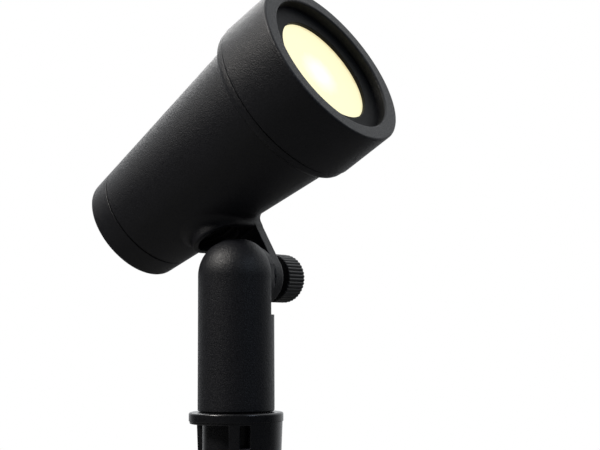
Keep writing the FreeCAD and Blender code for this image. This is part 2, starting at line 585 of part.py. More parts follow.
def lamp_face():
    """Front glass of the lamp, inside the reflector's rim."""
    front = LAMP_FRONT_X - LAMP_FACE_INSET
    radius = LAMP_RADIUS - LAMP_WALL - BUSH_GAP
    return pitched(on_beam([(front - LAMP_FACE_THICKNESS, 0), (front, 0), (front, radius, LAMP_FACE_ROUND),
                            (front - LAMP_FACE_THICKNESS, radius)]))


def block_on_beam(back_x, front_x, width, depth, corner):
    """Rounded block across the beam, as wide as given along Y and as deep along Z."""
    outline = [(-width / 2, -depth / 2, corner), (width / 2, -depth / 2, corner),
               (width / 2, depth / 2, corner), (-width / 2, depth / 2, corner)]
    wire = rounded_outline(outline, lambda p: V(back_x, HEAD_AXIS_Y + p.x, HEAD_AXIS_HEIGHT + p.y))
    return Part.Face(wire).extrude(V(front_x - back_x, 0, 0))


def along_beam(radius, back_x, front_x, offset_y):
    """Cylinder parallel to the beam, beside its axis."""
    return Part.makeCylinder(radius, front_x - back_x,
                             V(back_x, HEAD_AXIS_Y + offset_y, HEAD_AXIS_HEIGHT), X)


def lamp_base():
    """Ceramic base block behind the reflector."""
    return pitched(block_on_beam(BASE_BACK_X, LAMP_BACK_X, BASE_WIDTH, BASE_DEPTH, HOLDER_CORNER))


def lamp_pin(side):
    """One contact pin, from the base into the holder."""
    return pitched(along_beam(PIN_RADIUS, BASE_BACK_X - PIN_LENGTH, BASE_BACK_X,
                              side * PIN_SPACING / 2))


def lamp_holder():
    """Ceramic holder with two pin sockets."""
    block = block_on_beam(HOLDER_BACK_X, BASE_BACK_X, HOLDER_WIDTH, HOLDER_DEPTH, HOLDER_CORNER)
    sockets = [along_beam(PIN_RADIUS + RUNNING_GAP, BASE_BACK_X - PIN_LENGTH - PIN_SOCKET_SPARE,
                          BASE_BACK_X + CUT_BEYOND, side * PIN_SPACING / 2) for side in (-1, 1)]
    return pitched(block.cut(sockets))


def holder_bracket():
    """Steel strap across the barrel that the holder sits on."""
    strap = block_on_beam(BRACKET_BACK_X, HOLDER_BACK_X, BRACKET_SPAN, BRACKET_WIDTH, HOLDER_CORNER)
    holes = [along_beam(SCREW_RADIUS + SCREW_CLEARANCE, BRACKET_BACK_X - CUT_BEYOND,
                        HOLDER_BACK_X + CUT_BEYOND, side * BRACKET_SCREW_Y) for side in (-1, 1)]
    holes.append(along_beam(BRACKET_SLOT_RADIUS, BRACKET_BACK_X - CUT_BEYOND,
                            HOLDER_BACK_X + CUT_BEYOND, 0))
    return pitched(strap.cut(holes))


def holder_screw(side):
    """Pan-head screw through the strap into a lug of the casting."""
    beam = V(0, HEAD_AXIS_Y + side * BRACKET_SCREW_Y, HEAD_AXIS_HEIGHT)
    tip_x = HOLDER_BACK_X - SCREW_LENGTH
    return pitched(turned([(tip_x, 0), (tip_x, SCREW_RADIUS), (HOLDER_BACK_X, SCREW_RADIUS),
                           (HOLDER_BACK_X, SCREW_HEAD_RADIUS),
                           (HOLDER_BACK_X + SCREW_HEAD_HEIGHT, SCREW_HEAD_RADIUS, SCREW_HEAD_ROUND),
                           (HOLDER_BACK_X + SCREW_HEAD_HEIGHT, 0)], beam, X, Z))


# ---------------------------------------------------------------- cowl and lens pack
def cowl():
    """Screw-on front ring: plain outside, with a deep lip that holds the lens pack."""
    foot_x = COWL_SEAM_X + SEAM_GAP
    lip_x = COWL_FRONT_X - COWL_RECESS_DEPTH
    return pitched(on_beam([(foot_x, COWL_INNER_RADIUS), (foot_x, COWL_RADIUS, COWL_FOOT_ROUND),
                            (COWL_FRONT_X, COWL_RADIUS, COWL_RIM_ROUND),
                            (COWL_FRONT_X, COWL_BORE_RADIUS, COWL_RIM_ROUND),
                            (lip_x, COWL_BORE_RADIUS), (lip_x, COWL_INNER_RADIUS)]))


def mask_ring():
    """Thin black plate behind the lip, open over the lamp."""
    return pitched(on_beam([(LENS_FRONT_X, MASK_APERTURE_RADIUS), (LENS_FRONT_X, MASK_RADIUS),
                            (MASK_FRONT_X, MASK_RADIUS),
                            (MASK_FRONT_X, MASK_APERTURE_RADIUS, MASK_EDGE_ROUND)]))


def lens_glass():
    """Flat round front glass."""
    return pitched(on_beam([(GASKET_FRONT_X, 0), (LENS_FRONT_X, 0), (LENS_FRONT_X, LENS_RADIUS, LENS_EDGE_ROUND),
                            (GASKET_FRONT_X, LENS_RADIUS, LENS_EDGE_ROUND)]))


def lens_gasket():
    """Flat rubber ring between the glass and the barrel's front edge."""
    back_x = GASKET_FRONT_X - GASKET_THICKNESS
    return pitched(on_beam([(back_x, GASKET_INNER_RADIUS), (back_x, LENS_RADIUS),
                            (GASKET_FRONT_X, LENS_RADIUS), (GASKET_FRONT_X, GASKET_INNER_RADIUS)]))


# ---------------------------------------------------------------- thumb screw
def on_screw(corners):
    """Solid of revolution about the tilt axis."""
    return turned(corners, V(0, 0, PIVOT_Z), Y, X)


def clamp_washer():
    """Plain washer between the ear and the knob."""
    back_y = EAR_OUTER_Y + SHIM_GAP
    return on_screw([(back_y, EAR_HOLE_RADIUS), (back_y, WASHER_RADIUS),
                     (WASHER_OUTER_Y, WASHER_RADIUS, WASHER_EDGE_ROUND), (WASHER_OUTER_Y, EAR_HOLE_RADIUS)])


def thumb_knob():
    """Knurled knob with a plain neck that bears on the washer."""
    neck_y = WASHER_OUTER_Y + SHIM_GAP
    knob = on_screw([(neck_y, 0), (neck_y, KNOB_NECK_RADIUS), (KNOB_BACK_Y, KNOB_NECK_RADIUS),
                     (KNOB_BACK_Y, KNOB_RADIUS, KNOB_BACK_ROUND),
                     (KNOB_FRONT_Y, KNOB_RADIUS, KNOB_END_ROUND), (KNOB_FRONT_Y, 0)])
    groove_radius = KNOB_GROOVE_SHARE * 2 * math.pi * KNOB_RADIUS / KNOB_RIBS
    groove = Part.makeCylinder(groove_radius, KNOB_LENGTH - KNOB_PLAIN_END + CUT_BEYOND,
                               V(KNOB_RADIUS + groove_radius - KNOB_RIB_DEPTH,
                                 KNOB_BACK_Y - CUT_BEYOND, PIVOT_Z), Y)
    grooves = []
    for index in range(KNOB_RIBS):
        copy = groove.copy()
        copy.rotate(V(0, 0, PIVOT_Z), Y, 360.0 * index / KNOB_RIBS)
        grooves.append(copy)
    socket = Part.makeCylinder(SHANK_RADIUS + BUSH_GAP, KNOB_SHANK_SOCKET + BUSH_GAP,
                               V(0, neck_y, PIVOT_Z), Y)
    return knob.cut(grooves + [socket])


def thumb_screw_shank():
    """Steel shank, moulded into the knob and threaded into the stem's boss."""
    end_y = WASHER_OUTER_Y + SHIM_GAP + KNOB_SHANK_SOCKET
    return on_screw([(SHANK_TIP_Y, 0), (SHANK_TIP_Y, SHANK_RADIUS - SHANK_TIP_CHAMFER),
                     (SHANK_TIP_Y + SHANK_TIP_CHAMFER, SHANK_RADIUS), (end_y, SHANK_RADIUS),
                     (end_y, 0)])


PIECES = {
    "spike_stake": spike_stake,
    "stem_casting": stem_casting,
    "thread_nipple": thread_nipple,
    "stem_grommet": stem_grommet,
    "head_housing": head_housing,
    "rear_cap": rear_cap,
    "rear_cap_oring": lambda: seal_ring(REAR_SEAM_X, REAR_BORE_RADIUS - RUNNING_GAP),
    "cowl_oring": lambda: seal_ring(COWL_SEAM_X, SPIGOT_RADIUS),
    "hood_grommet": hood_grommet,
    "holder_bracket": holder_bracket,
    "holder_screw_1": lambda: holder_screw(-1),
    "holder_screw_2": lambda: holder_screw(1),
    "lamp_holder": lamp_holder,
    "lamp_base": lamp_base,
    "lamp_pin_1": lambda: lamp_pin(-1),
    "lamp_pin_2": lambda: lamp_pin(1),
    "lamp_body": lamp_body,
    "lamp_face": lamp_face,
    "lens_glass": lens_glass,
    "lens_gasket": lens_gasket,
    "mask_ring": mask_ring,
    "cowl": cowl,
    "clamp_washer": clamp_washer,
    "thumb_knob": thumb_knob,
    "thumb_screw_shank": thumb_screw_shank,
}


def main():
    """Build every piece and write one file for each."""
    os.makedirs("parts", exist_ok=True)
    for name, make in PIECES.items():
        solid = make()
        if len(solid.Solids) == 1:
            solid = solid.Solids[0]
        print(name, "solids", len(solid.Solids), "valid", solid.isValid(), "volume", round(solid.Volume, 1))
        solid.exportStep("parts/" + name + ".step")


main()
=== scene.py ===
"""Looks of a garden spike spotlight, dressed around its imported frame.

The head, the front ring, the stem, the thumb screw and the spike are each a class. Their
surfaces are grids and turned profiles worked out with numpy, in metres, in the part's frame:
+Z up the stem, +X the way the head aims in plan, +Y the thumb screw's side.
"""
from __future__ import annotations

import json
import logging
import math
import sys
from dataclasses import dataclass
from enum import Enum
from typing import Callable, NamedTuple

import bmesh
import bpy
import numpy as np
from mathutils import Matrix, Vector

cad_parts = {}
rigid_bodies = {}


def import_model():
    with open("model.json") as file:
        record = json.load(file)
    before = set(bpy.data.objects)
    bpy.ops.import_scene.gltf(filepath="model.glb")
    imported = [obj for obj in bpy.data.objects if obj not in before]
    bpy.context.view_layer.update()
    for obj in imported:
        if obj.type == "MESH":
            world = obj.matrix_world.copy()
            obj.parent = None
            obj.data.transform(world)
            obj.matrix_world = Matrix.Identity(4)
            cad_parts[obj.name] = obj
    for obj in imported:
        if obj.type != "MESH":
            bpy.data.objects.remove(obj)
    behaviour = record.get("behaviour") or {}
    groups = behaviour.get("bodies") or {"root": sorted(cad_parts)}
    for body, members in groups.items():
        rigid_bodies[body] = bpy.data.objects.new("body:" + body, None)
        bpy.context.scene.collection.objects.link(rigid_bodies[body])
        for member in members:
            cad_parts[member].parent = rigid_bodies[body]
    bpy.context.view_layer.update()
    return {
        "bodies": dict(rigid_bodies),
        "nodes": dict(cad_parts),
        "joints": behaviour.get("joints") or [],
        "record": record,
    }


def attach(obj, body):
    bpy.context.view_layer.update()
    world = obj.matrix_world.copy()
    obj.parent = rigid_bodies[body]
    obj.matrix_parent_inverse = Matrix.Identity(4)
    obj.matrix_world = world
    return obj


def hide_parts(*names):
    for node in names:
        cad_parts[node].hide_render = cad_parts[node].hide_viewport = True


MM = 0.001
TAU = 2.0 * math.pi
TINY = 1e-6                 # guards a comparison or a division
SKIN_MM = 0.01              # how near a surface a point counts as on it
MERGE = 2e-6                # points closer than this, in metres, become one
GRADIENT_STEP = 0.05        # share of a lattice cell over which a slope is measured
SLIDE_PASSES = 3            # times that each point slides onto its surface
LEAST_SLOPE = 0.1           # floor of the squared slope that a slide divides by
LARGEST_SLIDE = 0.4         # share of a lattice cell that one slide may cover
BEVEL_SEGMENTS = 3
NORMAL_WEIGHT = 60          # how far large faces lead in the shading
PREFIX = "ShaderNode"       # what every shader node's type starts with
LOG = logging.getLogger("spotlight")

Array = np.ndarray


# --------------------------------------------------------------------------- frames
@dataclass(frozen=True)
class Axes:
    """A right-handed set of axes at a point, for turning profiles about its first axis.

    Args:
        origin: where the axes meet, in metres.
        along: unit vector that profiles run along.
        side: unit vector square to it, where a turned profile starts.
        up: unit vector that completes the set.
    """

    origin: Array
    along: Array
    side: Array
    up: Array

    def place(self, along: Array, side: Array, up: Array) -> Array:
        """Points from their three coordinates in these axes."""
        return (self.origin + np.multiply.outer(along, self.along)
                + np.multiply.outer(side, self.side) + np.multiply.outer(up, self.up))


def vec(x: float, y: float, z: float) -> Array:
    """A three-number vector."""
    return np.array([x, y, z], float)


# --------------------------------------------------------------------------- surfaces
class Surface(NamedTuple):
    """A mesh before it becomes an object: places in metres and quads of corner numbers."""

    points: Array
    faces: Array


def joined(*surfaces: Surface) -> Surface:
    """Several surfaces as one, each keeping its own points.

    Args:
        surfaces: the surfaces.

    Returns:
        One surface with all their points and faces.
    """
    starts = np.cumsum([0] + [len(surface.points) for surface in surfaces[:-1]])
    faces = [surface.faces + start for surface, start in zip(surfaces, starts)]
    return Surface(np.concatenate([surface.points for surface in surfaces]), np.concatenate(faces))


def rounded(corners: list[tuple[float, ...]], steps: int = 7) -> Array:
    """Points of a closed profile whose corners may be rounded.

    Each corner is (along, radius) or (along, radius, round): a round is replaced by the arc that
    is tangent to both neighbouring sides, sampled in equal turns.

    Args:
        corners: the profile's corners, in millimetres.
        steps: points along each arc.

    Returns:
        An (n, 2) array in metres.
    """
    flat = np.array([corner[:2] for corner in corners], float)
    points: list[Array] = []
    for index, corner in enumerate(corners):
        radius = corner[2] if len(corner) > 2 else 0.0
        if radius == 0.0:
            points.append(flat[index][None])
            continue
        back = flat[index - 1] - flat[index]
        ahead = flat[(index + 1) % len(corners)] - flat[index]
        back /= np.linalg.norm(back)
        ahead /= np.linalg.norm(ahead)
        half = math.acos(float(np.clip(back @ ahead, -1, 1))) / 2
        middle = (back + ahead) / np.linalg.norm(back + ahead)
        centre = flat[index] + middle * radius / math.sin(half)
        start = flat[index] + back * radius / math.tan(half) - centre
        end = flat[index] + ahead * radius / math.tan(half) - centre
        sweep = math.acos(float(np.clip(start @ end / radius ** 2, -1, 1)))
        share = np.linspace(0, 1, steps)[:, None]
        arc = (np.sin((1 - share) * sweep) * start + np.sin(share * sweep) * end) / math.sin(sweep)
        points.append(centre + arc)
    return np.concatenate(points) * MM


def grid(points: Array, wrap_rows: bool = True, wrap_columns: bool = True) -> Surface:
    """Quads over a (rows, columns, 3) array of places, optionally joined end to end.

    Args:
        points: places in metres, row by row.
        wrap_rows: whether the last row joins the first.
        wrap_columns: whether the last column joins the first.

    Returns:
        The surface.
    """
    rows, columns = points.shape[:2]
    row = np.arange(rows if wrap_rows else rows - 1)
    column = np.arange(columns if wrap_columns else columns - 1)
    r, c = np.meshgrid(row, column, indexing="ij")
    r_next = (r + 1) % rows
    c_next = (c + 1) % columns
    quads = np.stack([r * columns + c, r * columns + c_next,
                      r_next * columns + c_next, r_next * columns + c], axis=-1)
    return Surface(points.reshape(-1, 3), quads.reshape(-1, 4))


def full_turn(count: int) -> Array:
    """Evenly spaced angles from 0 up to, and not with, a full turn."""
    return np.arange(count) * TAU / count


def as_columns(rows: list[tuple[float, ...]]) -> list[Array]:
    """Each item of the rows as an (n, 1) array."""
    return [np.array(column)[:, None] for column in zip(*rows)]


def divided(stops: list[float], step: float) -> Array:
    """Values from each stop to the next, evenly spaced about a step apart, at least two each.

    Args:
        stops: the stops, rising or falling.
        step: the spacing aimed at.

    Returns:
        The values, without the last stop.
    """
    return np.concatenate([np.linspace(a, b, max(int(abs(b - a) / step), 2), endpoint=False)
                           for a, b in zip(stops, stops[1:])])


def swept(along: Array, radius: Array, turn: Array, axes: Axes) -> Surface:
    """Closed rows of points carried round the first axis.

    Args:
        along: places along the axis, in millimetres.
        radius: distances from it, in millimetres.
        turn: the angles of the columns.
        axes: the axes to turn about.

    Returns:
        The surface.
    """
    return grid(axes.place((along + 0 * turn) * MM, radius * np.cos(turn) * MM,
                           radius * np.sin(turn) * MM))


def turned(profile: Array, axes: Axes, segments: int) -> Surface:
    """Solid of revolution: each profile point (along, radius) is carried round the first axis.

    Args:
        profile: (n, 2) points of a closed loop, in metres; it may touch the axis.
        axes: the axes to turn about.
        segments: steps in a full turn.

    Returns:
        The surface.
    """
    turn = full_turn(segments)
    along = np.repeat(profile[:, 0][:, None], segments, axis=1)
    radius = profile[:, 1][:, None]
    return grid(axes.place(along, radius * np.cos(turn), radius * np.sin(turn)))


def pierced_wall(turns: Array, heights: Array, outer: Array, inner: Array, solid: Array,
                 axes: Axes) -> Surface:
    """Round wall between two radii, with some cells of its grid of turns and heights left open.

    Each solid cell has an outer and an inner quad, and a quad through the wall on each side
    where its neighbour is open or the grid ends.

    Args:
        turns: angles of the columns over a full turn.
        heights: places of the rows along the first axis, in metres.
        outer: outer radius of each row.
        inner: inner radius of each row.
        solid: (rows - 1, columns) whether each cell is solid.
        axes: the axes to turn about.

    Returns:
        The closed surface.
    """
    columns = len(turns)
    sheets = [axes.place(np.repeat(heights[:, None], columns, axis=1),
                         radius[:, None] * np.cos(turns), radius[:, None] * np.sin(turns))
              for radius in (outer, inner)]
    points = np.concatenate([sheet.reshape(-1, 3) for sheet in sheets])
    shift = len(heights) * columns
    fenced = np.pad(solid, ((1, 1), (0, 0)))
    r, c = np.nonzero(solid)
    c_next = (c + 1) % columns
    first, second = r * columns + c, r * columns + c_next
    third, fourth = (r + 1) * columns + c_next, (r + 1) * columns + c
    quads = [np.stack([first, second, third, fourth], axis=-1),
             np.stack([fourth, third, second, first], axis=-1) + shift]
    sides = ((~fenced[r, c], first, second), (~fenced[r + 2, c], third, fourth),
             (~solid[r, c - 1], fourth, first), (~solid[r, c_next], second, third))
    for is_open, a, b in sides:
        quads.append(np.stack([a, a + shift, b + shift, b], axis=-1)[is_open])
    return Surface(points, np.concatenate(quads))


def implicit(distance: Callable[[Array, Array, Array], Array], low: Array, high: Array, cell: float,
             axes: Axes) -> Surface:
    """Surface on which a distance function of space is zero, in millimetres in the given axes.

    A cell of a regular lattice that the surface crosses holds one point, the mean of the
    crossings on its twelve edges, and each crossed lattice edge makes a quad of the four points
    round it. Each point then slides down the function's gradient onto the surface.

    Args:
        distance: signed distance, negative inside.
        low: lowest corner of the lattice.
        high: highest corner of the lattice.
        cell: lattice step.
        axes: the axes that the three coordinates belong to.

    Returns:
        The closed surface.
    """
    counts = np.ceil((high - low) / cell).astype(int) + 1
    lines = [low[i] + cell * np.arange(counts[i]) for i in range(3)]
    lattice = np.meshgrid(*lines, indexing="ij")
    value = distance(*lattice)
    inside = value < 0
    total = np.zeros((*(counts - 1), 3))
    hits = np.zeros(counts - 1)
    crossings = []
    for axis in range(3):
        head = [slice(None)] * 3
        tail = [slice(None)] * 3
        head[axis], tail[axis] = slice(0, -1), slice(1, None)
        a, b = value[tuple(head)], value[tuple(tail)]
        crossed = inside[tuple(head)] != inside[tuple(tail)]
        share = np.where(crossed, a / np.where(crossed, a - b, 1.0), 0.0)
        place = np.stack([line[tuple(head)] for line in lattice], axis=-1)
        place[..., axis] += share * cell
        others = [other for other in range(3) if other != axis]
        for i in (0, 1):
            for j in (0, 1):
                cut = [slice(None)] * 3
                cut[others[0]] = slice(i, i + counts[others[0]] - 1)
                cut[others[1]] = slice(j, j + counts[others[1]] - 1)
                total += np.where(crossed[tuple(cut)][..., None], place[tuple(cut)], 0.0)
                hits += crossed[tuple(cut)]
        crossings.append((axis, others, crossed))
    found = hits > 0
    number = np.full(found.shape, -1)
    number[found] = np.arange(np.count_nonzero(found))
    points = total[found] / hits[found][:, None]
    quads = []
    for axis, others, crossed in crossings:
        where = np.stack(np.nonzero(crossed), axis=-1)
        keep = np.all([(where[:, o] > 0) & (where[:, o] < counts[o] - 1) for o in others], axis=0)
        where = where[keep]
        corners = []
        for i, j in ((-1, -1), (0, -1), (0, 0), (-1, 0)):
            corner = where.copy()
            corner[:, others[0]] += i
            corner[:, others[1]] += j
            corners.append(number[tuple(corner.T)])
        quads.append(np.stack(corners, axis=-1))
    step = GRADIENT_STEP * cell
    largest = LARGEST_SLIDE * cell
    for _ in range(SLIDE_PASSES):
        here = distance(*points.T)
        ends = [(distance(*(points + step * unit).T), distance(*(points - step * unit).T))
                for unit in np.eye(3)]
        slope = np.stack([(ahead - behind) / (2 * step) for ahead, behind in ends], axis=-1)
        reach = here / np.maximum((slope ** 2).sum(axis=1), LEAST_SLOPE)
        points -= np.clip(reach, -largest, largest)[:, None] * slope
    return Surface(axes.place(*(points.T * MM)), np.concatenate(quads))


def both(a: Array, b: Array, radius: Array | float) -> Array:
    """Distance to what lies in both shapes, with their common edge rounded.

    Args:
        a: distances to the first shape.
        b: distances to the second.
        radius: the round on their common edge.

    Returns:
        The distances.
    """
    ra, rb = a + radius, b + radius
    corner = np.hypot(np.maximum(ra, 0), np.maximum(rb, 0))
    return corner + np.minimum(np.maximum(ra, rb), 0) - radius


def either(a: Array, b: Array, radius: float) -> Array:
    """Distance to what lies in one shape or the other, with a concave fillet between them."""
    return -both(-a, -b, radius)


def soft_minimum(value: Array, limit: Array, ease: float) -> Array:
    """The lesser of a value and its limit, rounded where they are nearly the same.

    The value's share is a half plus half its room below the limit over the ease, held from 0 to
    1. The two are mixed by that share, less the ease times the share times the rest of it.

    Args:
        value: the values.
        limit: what they stay under.
        ease: how near the limit the rounding starts.

    Returns:
        The limited values.
    """
    near = np.clip(0.5 + 0.5 * (limit - value) / ease, 0, 1)
    return limit * (1 - near) + value * near - ease * near * (1 - near)


def make_piece(name: str, surface: Surface, smooth_deg: float = 32.0,
               bevel_mm: float = 0.0) -> bpy.types.Object:
    """Mesh object at the origin from a surface: merged, turned outwards and smoothed.

    Args:
        name: the piece's name.
        surface: its places and quads; a quad with a repeated place becomes a triangle.
        smooth_deg: edges sharper than this stay sharp.
        bevel_mm: width of the round put on sharp edges, or 0 for none.

    Returns:
        The linked object.
    """
    mesh = bpy.data.meshes.new(name)
    mesh.from_pydata(surface.points.tolist(), [], surface.faces.tolist())
    obj = bpy.data.objects.new(name, mesh)
    bpy.context.scene.collection.objects.link(obj)
    work = bmesh.new()
    work.from_mesh(mesh)
    bmesh.ops.remove_doubles(work, verts=work.verts, dist=MERGE)
    bmesh.ops.dissolve_degenerate(work, edges=work.edges, dist=MERGE / 10)
    bmesh.ops.recalc_face_normals(work, faces=work.faces)
    work.to_mesh(mesh)
    work.free()
    mesh.polygons.foreach_set("use_smooth", np.ones(len(mesh.polygons), bool))
    mesh.set_sharp_from_angle(angle=math.radians(smooth_deg))
    if bevel_mm:
        bevel = obj.modifiers.new("eased edges", "BEVEL")
        bevel.width = bevel_mm * MM
        bevel.segments = BEVEL_SEGMENTS
        bevel.limit_method = "ANGLE"
        bevel.angle_limit = math.radians(smooth_deg)
    weighted = obj.modifiers.new("even shading", "WEIGHTED_NORMAL")
    weighted.keep_sharp = True
    weighted.weight = NORMAL_WEIGHT
    return obj


def triangle_wave(phase: Array) -> Array:
    """1 at whole numbers and 0 half way between them, in straight lines."""
    return np.abs(2.0 * (phase - np.floor(phase)) - 1.0)


# --------------------------------------------------------------------------- finishes
@dataclass
class Graph:
    """A shader node tree that is being filled in.

    Args:
        tree: the tree.
    """

    tree: bpy.types.NodeTree

    def node(self, kind: str, values: dict[str | int, float | tuple[float, ...]] | None = None,
             **options: str) -> bpy.types.Node:
        """Adds a node.

        Args:
            kind: the node's type, without the prefix they share.
            values: what its unlinked sockets hold, by name or number.
            options: the node's own settings.

        Returns:
            The node.
        """
        node = self.tree.nodes.new(PREFIX + kind)
        for name, option in options.items():
            setattr(node, name, option)
        for socket, value in (values or {}).items():
            node.inputs[socket].default_value = value
        return node

    def link(self, *pairs: tuple[bpy.types.NodeSocket, bpy.types.NodeSocket]) -> None:
        """Links the first socket of each pair to the second."""
        for source, target in pairs:
            self.tree.links.new(source, target)


def principled(name: str, values: dict[str, float | tuple[float, ...]]
               ) -> tuple[bpy.types.Material, Graph, bpy.types.Node]:
    """A new material of one shader.

    Args:
        name: the material's name.
        values: what the shader's sockets hold.

    Returns:
        The material, its graph and its shader.
    """
    material = bpy.data.materials.new(name)
    material.use_nodes = True
    shader = material.node_tree.nodes["Principled BSDF"]
    for socket, value in values.items():
        shader.inputs[socket].default_value = value
    return material, Graph(material.node_tree), shader


class FinishKind(Enum):
    """The finishes the object's pieces are given."""

    POWDER_COAT = "black_powder_coat"
    MOULDED_PLASTIC = "black_moulded_plastic"
    KNOB_PLASTIC = "black_knob_plastic"
    RUBBER = "black_rubber"
    ZINC_STEEL = "zinc_steel"
    BRASS = "brass_pins"
    CERAMIC = "white_ceramic"
    # painted glow: the front glass emits light in place of the lamp behind it
    PAINTED_GLOW_GLASS = "lens_glass"
    LAMP_GLASS = "lamp_glass"
    REFLECTOR = "reflector_glass"
    MASK = "mask_black"


@dataclass(frozen=True)
class Grain:
    """A fine relief and the mottling of colour and gloss that goes with it.

    Args:
        size_mm: width of a grain.
        relief_mm: height of the relief.
        strength: share of the relief that shows.
        colour_spread: how far the colour swings, as a share of itself.
        gloss_spread: how far the roughness swings.
    """

    size_mm: float
    relief_mm: float
    strength: float
    colour_spread: float
    gloss_spread: float


@dataclass(frozen=True)
class Finish:
    """A procedural surface finish, read in object coordinates.

    Args:
        kind: which finish this is; its value is the record's material slot.
        colour: linear base colour.
        roughness: mean roughness.
        grain: the fine relief.
        metallic: 1 for bare metal.
        specular: specular level on the shader.
        coat: clear coat weight.
        coat_roughness: roughness of the clear coat.
        wear: how much paler the large-scale mottling makes the surface.
        fine_detail: octaves of the fine noise.
        fine_share: how far each octave of it counts beside the one before.
        broad_mm: size of the large-scale mottling.
        broad_detail: its octaves.
        ramp_start: noise value below which the colour is darkest.
        gloss_range: noise values between which the roughness swings.
        least_roughness: the smoothest it may get.
    """

    kind: FinishKind
    colour: tuple[float, float, float]
    roughness: float
    grain: Grain
    metallic: float = 0.0
    specular: float = 0.5
    coat: float = 0.0
    coat_roughness: float = 0.1
    wear: float = 0.15
    fine_detail: float = 3.0
    fine_share: float = 0.6
    broad_mm: float = 14.0
    broad_detail: float = 4.0
    ramp_start: float = 0.3
    gloss_range: tuple[float, float] = (0.3, 0.7)
    least_roughness: float = 0.02

    def build(self) -> bpy.types.Material:
        """Node material: two noises drive colour, roughness and bump of one shader.

        The colour follows the fine noise plus a share of the broad one, the roughness and the
        relief follow the fine noise alone.

        Returns:
            The material, named after its slot.
        """
        grain = self.grain
        material, graph, shader = principled(self.kind.value, {
            "Metallic": self.metallic, "Specular IOR Level": self.specular,
            "Coat Weight": self.coat, "Coat Roughness": self.coat_roughness})
        place = graph.node("TexCoord")
        fine = graph.node("TexNoise", {"Scale": 1.0 / (grain.size_mm * MM),
                                       "Detail": self.fine_detail, "Roughness": self.fine_share})
        broad = graph.node("TexNoise", {"Scale": 1.0 / (self.broad_mm * MM),
                                        "Detail": self.broad_detail})
        blend = graph.node("Math", {1: self.wear / grain.colour_spread}, operation="MULTIPLY_ADD")
        ramp = graph.node("ValToRGB")
        for element, spot, share in zip(ramp.color_ramp.elements, (self.ramp_start, 1.0),
                                        (1.0 - grain.colour_spread, 1.0 + grain.colour_spread)):
            element.position = spot
            element.color = (*(c * share for c in self.colour), 1.0)
        gloss = graph.node("MapRange", {
            "From Min": self.gloss_range[0], "From Max": self.gloss_range[1],
            "To Min": max(self.roughness - grain.gloss_spread, self.least_roughness),
            "To Max": min(self.roughness + grain.gloss_spread, 1.0)})
        bump = graph.node("Bump", {"Strength": grain.strength, "Distance": grain.relief_mm * MM})
        graph.link(
            (place.outputs["Object"], fine.inputs["Vector"]),
            (place.outputs["Object"], broad.inputs["Vector"]),
            (broad.outputs["Fac"], blend.inputs[0]), (fine.outputs["Fac"], blend.inputs[2]),
            (blend.outputs[0], ramp.inputs["Fac"]),
            (ramp.outputs["Color"], shader.inputs["Base Color"]),
            (fine.outputs["Fac"], gloss.inputs["Value"]),
            (gloss.outputs["Result"], shader.inputs["Roughness"]),
            (fine.outputs["Fac"], bump.inputs["Height"]),
            (bump.outputs["Normal"], shader.inputs["Normal"]))
        return material


@dataclass(frozen=True)
class PaintedGlowGlass:
    """Frosted front glass with a painted glow: emission stands in for the lamp's light behind it,
    warm white and paler at its painted hot spot.

    Args:
        kind: which finish this is.
        centre: where the glass is brightest, in metres.
        body: the glass's own colour.
        roughness: of its frosted face.
        strength: strength of the emitted light.
        radius_mm: distance over which the light falls off to its last colour.
        mottle_mm: size of the mottling.
        mottle_share: how far the mottling shifts the fall-off.
        glow: painted glow colours, each at its share of the radius; the last, tan one is a painted
            warm rim of lamp light.
    """

    kind: FinishKind
    centre: tuple[float, float, float]
    body: tuple[float, float, float] = (0.40, 0.37, 0.26)
    roughness: float = 0.35
    strength: float = 1.0
    radius_mm: float = 27.5
    mottle_mm: float = 3.0
    mottle_share: float = 0.10
    glow: tuple[tuple[float, tuple[float, float, float]], ...] = (
        (0.17, (0.97, 0.95, 0.86)), (0.42, (0.93, 0.87, 0.54)), (0.86, (0.93, 0.87, 0.54)),
        (1.06, (0.62, 0.46, 0.22)))

    def build(self) -> bpy.types.Material:
        """Node material: a painted glow, emission by distance from the painted hot spot, mottled
        like frosted glass.

        Returns:
            The material, named after its slot.
        """
        material, graph, shader = principled(self.kind.value, {
            "Base Color": (*self.body, 1.0), "Roughness": self.roughness,
            "Emission Strength": self.strength})
        place = graph.node("TexCoord")
        away = graph.node("VectorMath", {1: self.centre}, operation="DISTANCE")
        mottle = graph.node("TexNoise", {"Scale": 1.0 / (self.mottle_mm * MM)})
        scaled = graph.node("MapRange", {"From Max": self.radius_mm * MM})
        shift = graph.node("Math", {1: self.mottle_share}, operation="MULTIPLY_ADD")
        ramp = graph.node("ValToRGB")
        elements = ramp.color_ramp.elements
        for spot, _ in self.glow[2:]:
            elements.new(min(spot, 1.0))
        for element, (spot, colour) in zip(elements, self.glow):
            element.color = (*colour, 1.0)
            element.position = spot
        graph.link(
            (place.outputs["Object"], away.inputs[0]),
            (place.outputs["Object"], mottle.inputs["Vector"]),
            (away.outputs["Value"], scaled.inputs["Value"]),
            (mottle.outputs["Fac"], shift.inputs[0]), (scaled.outputs["Result"], shift.inputs[2]),
            (shift.outputs[0], ramp.inputs["Fac"]),
            (ramp.outputs["Color"], shader.inputs["Emission Color"]))
        return material


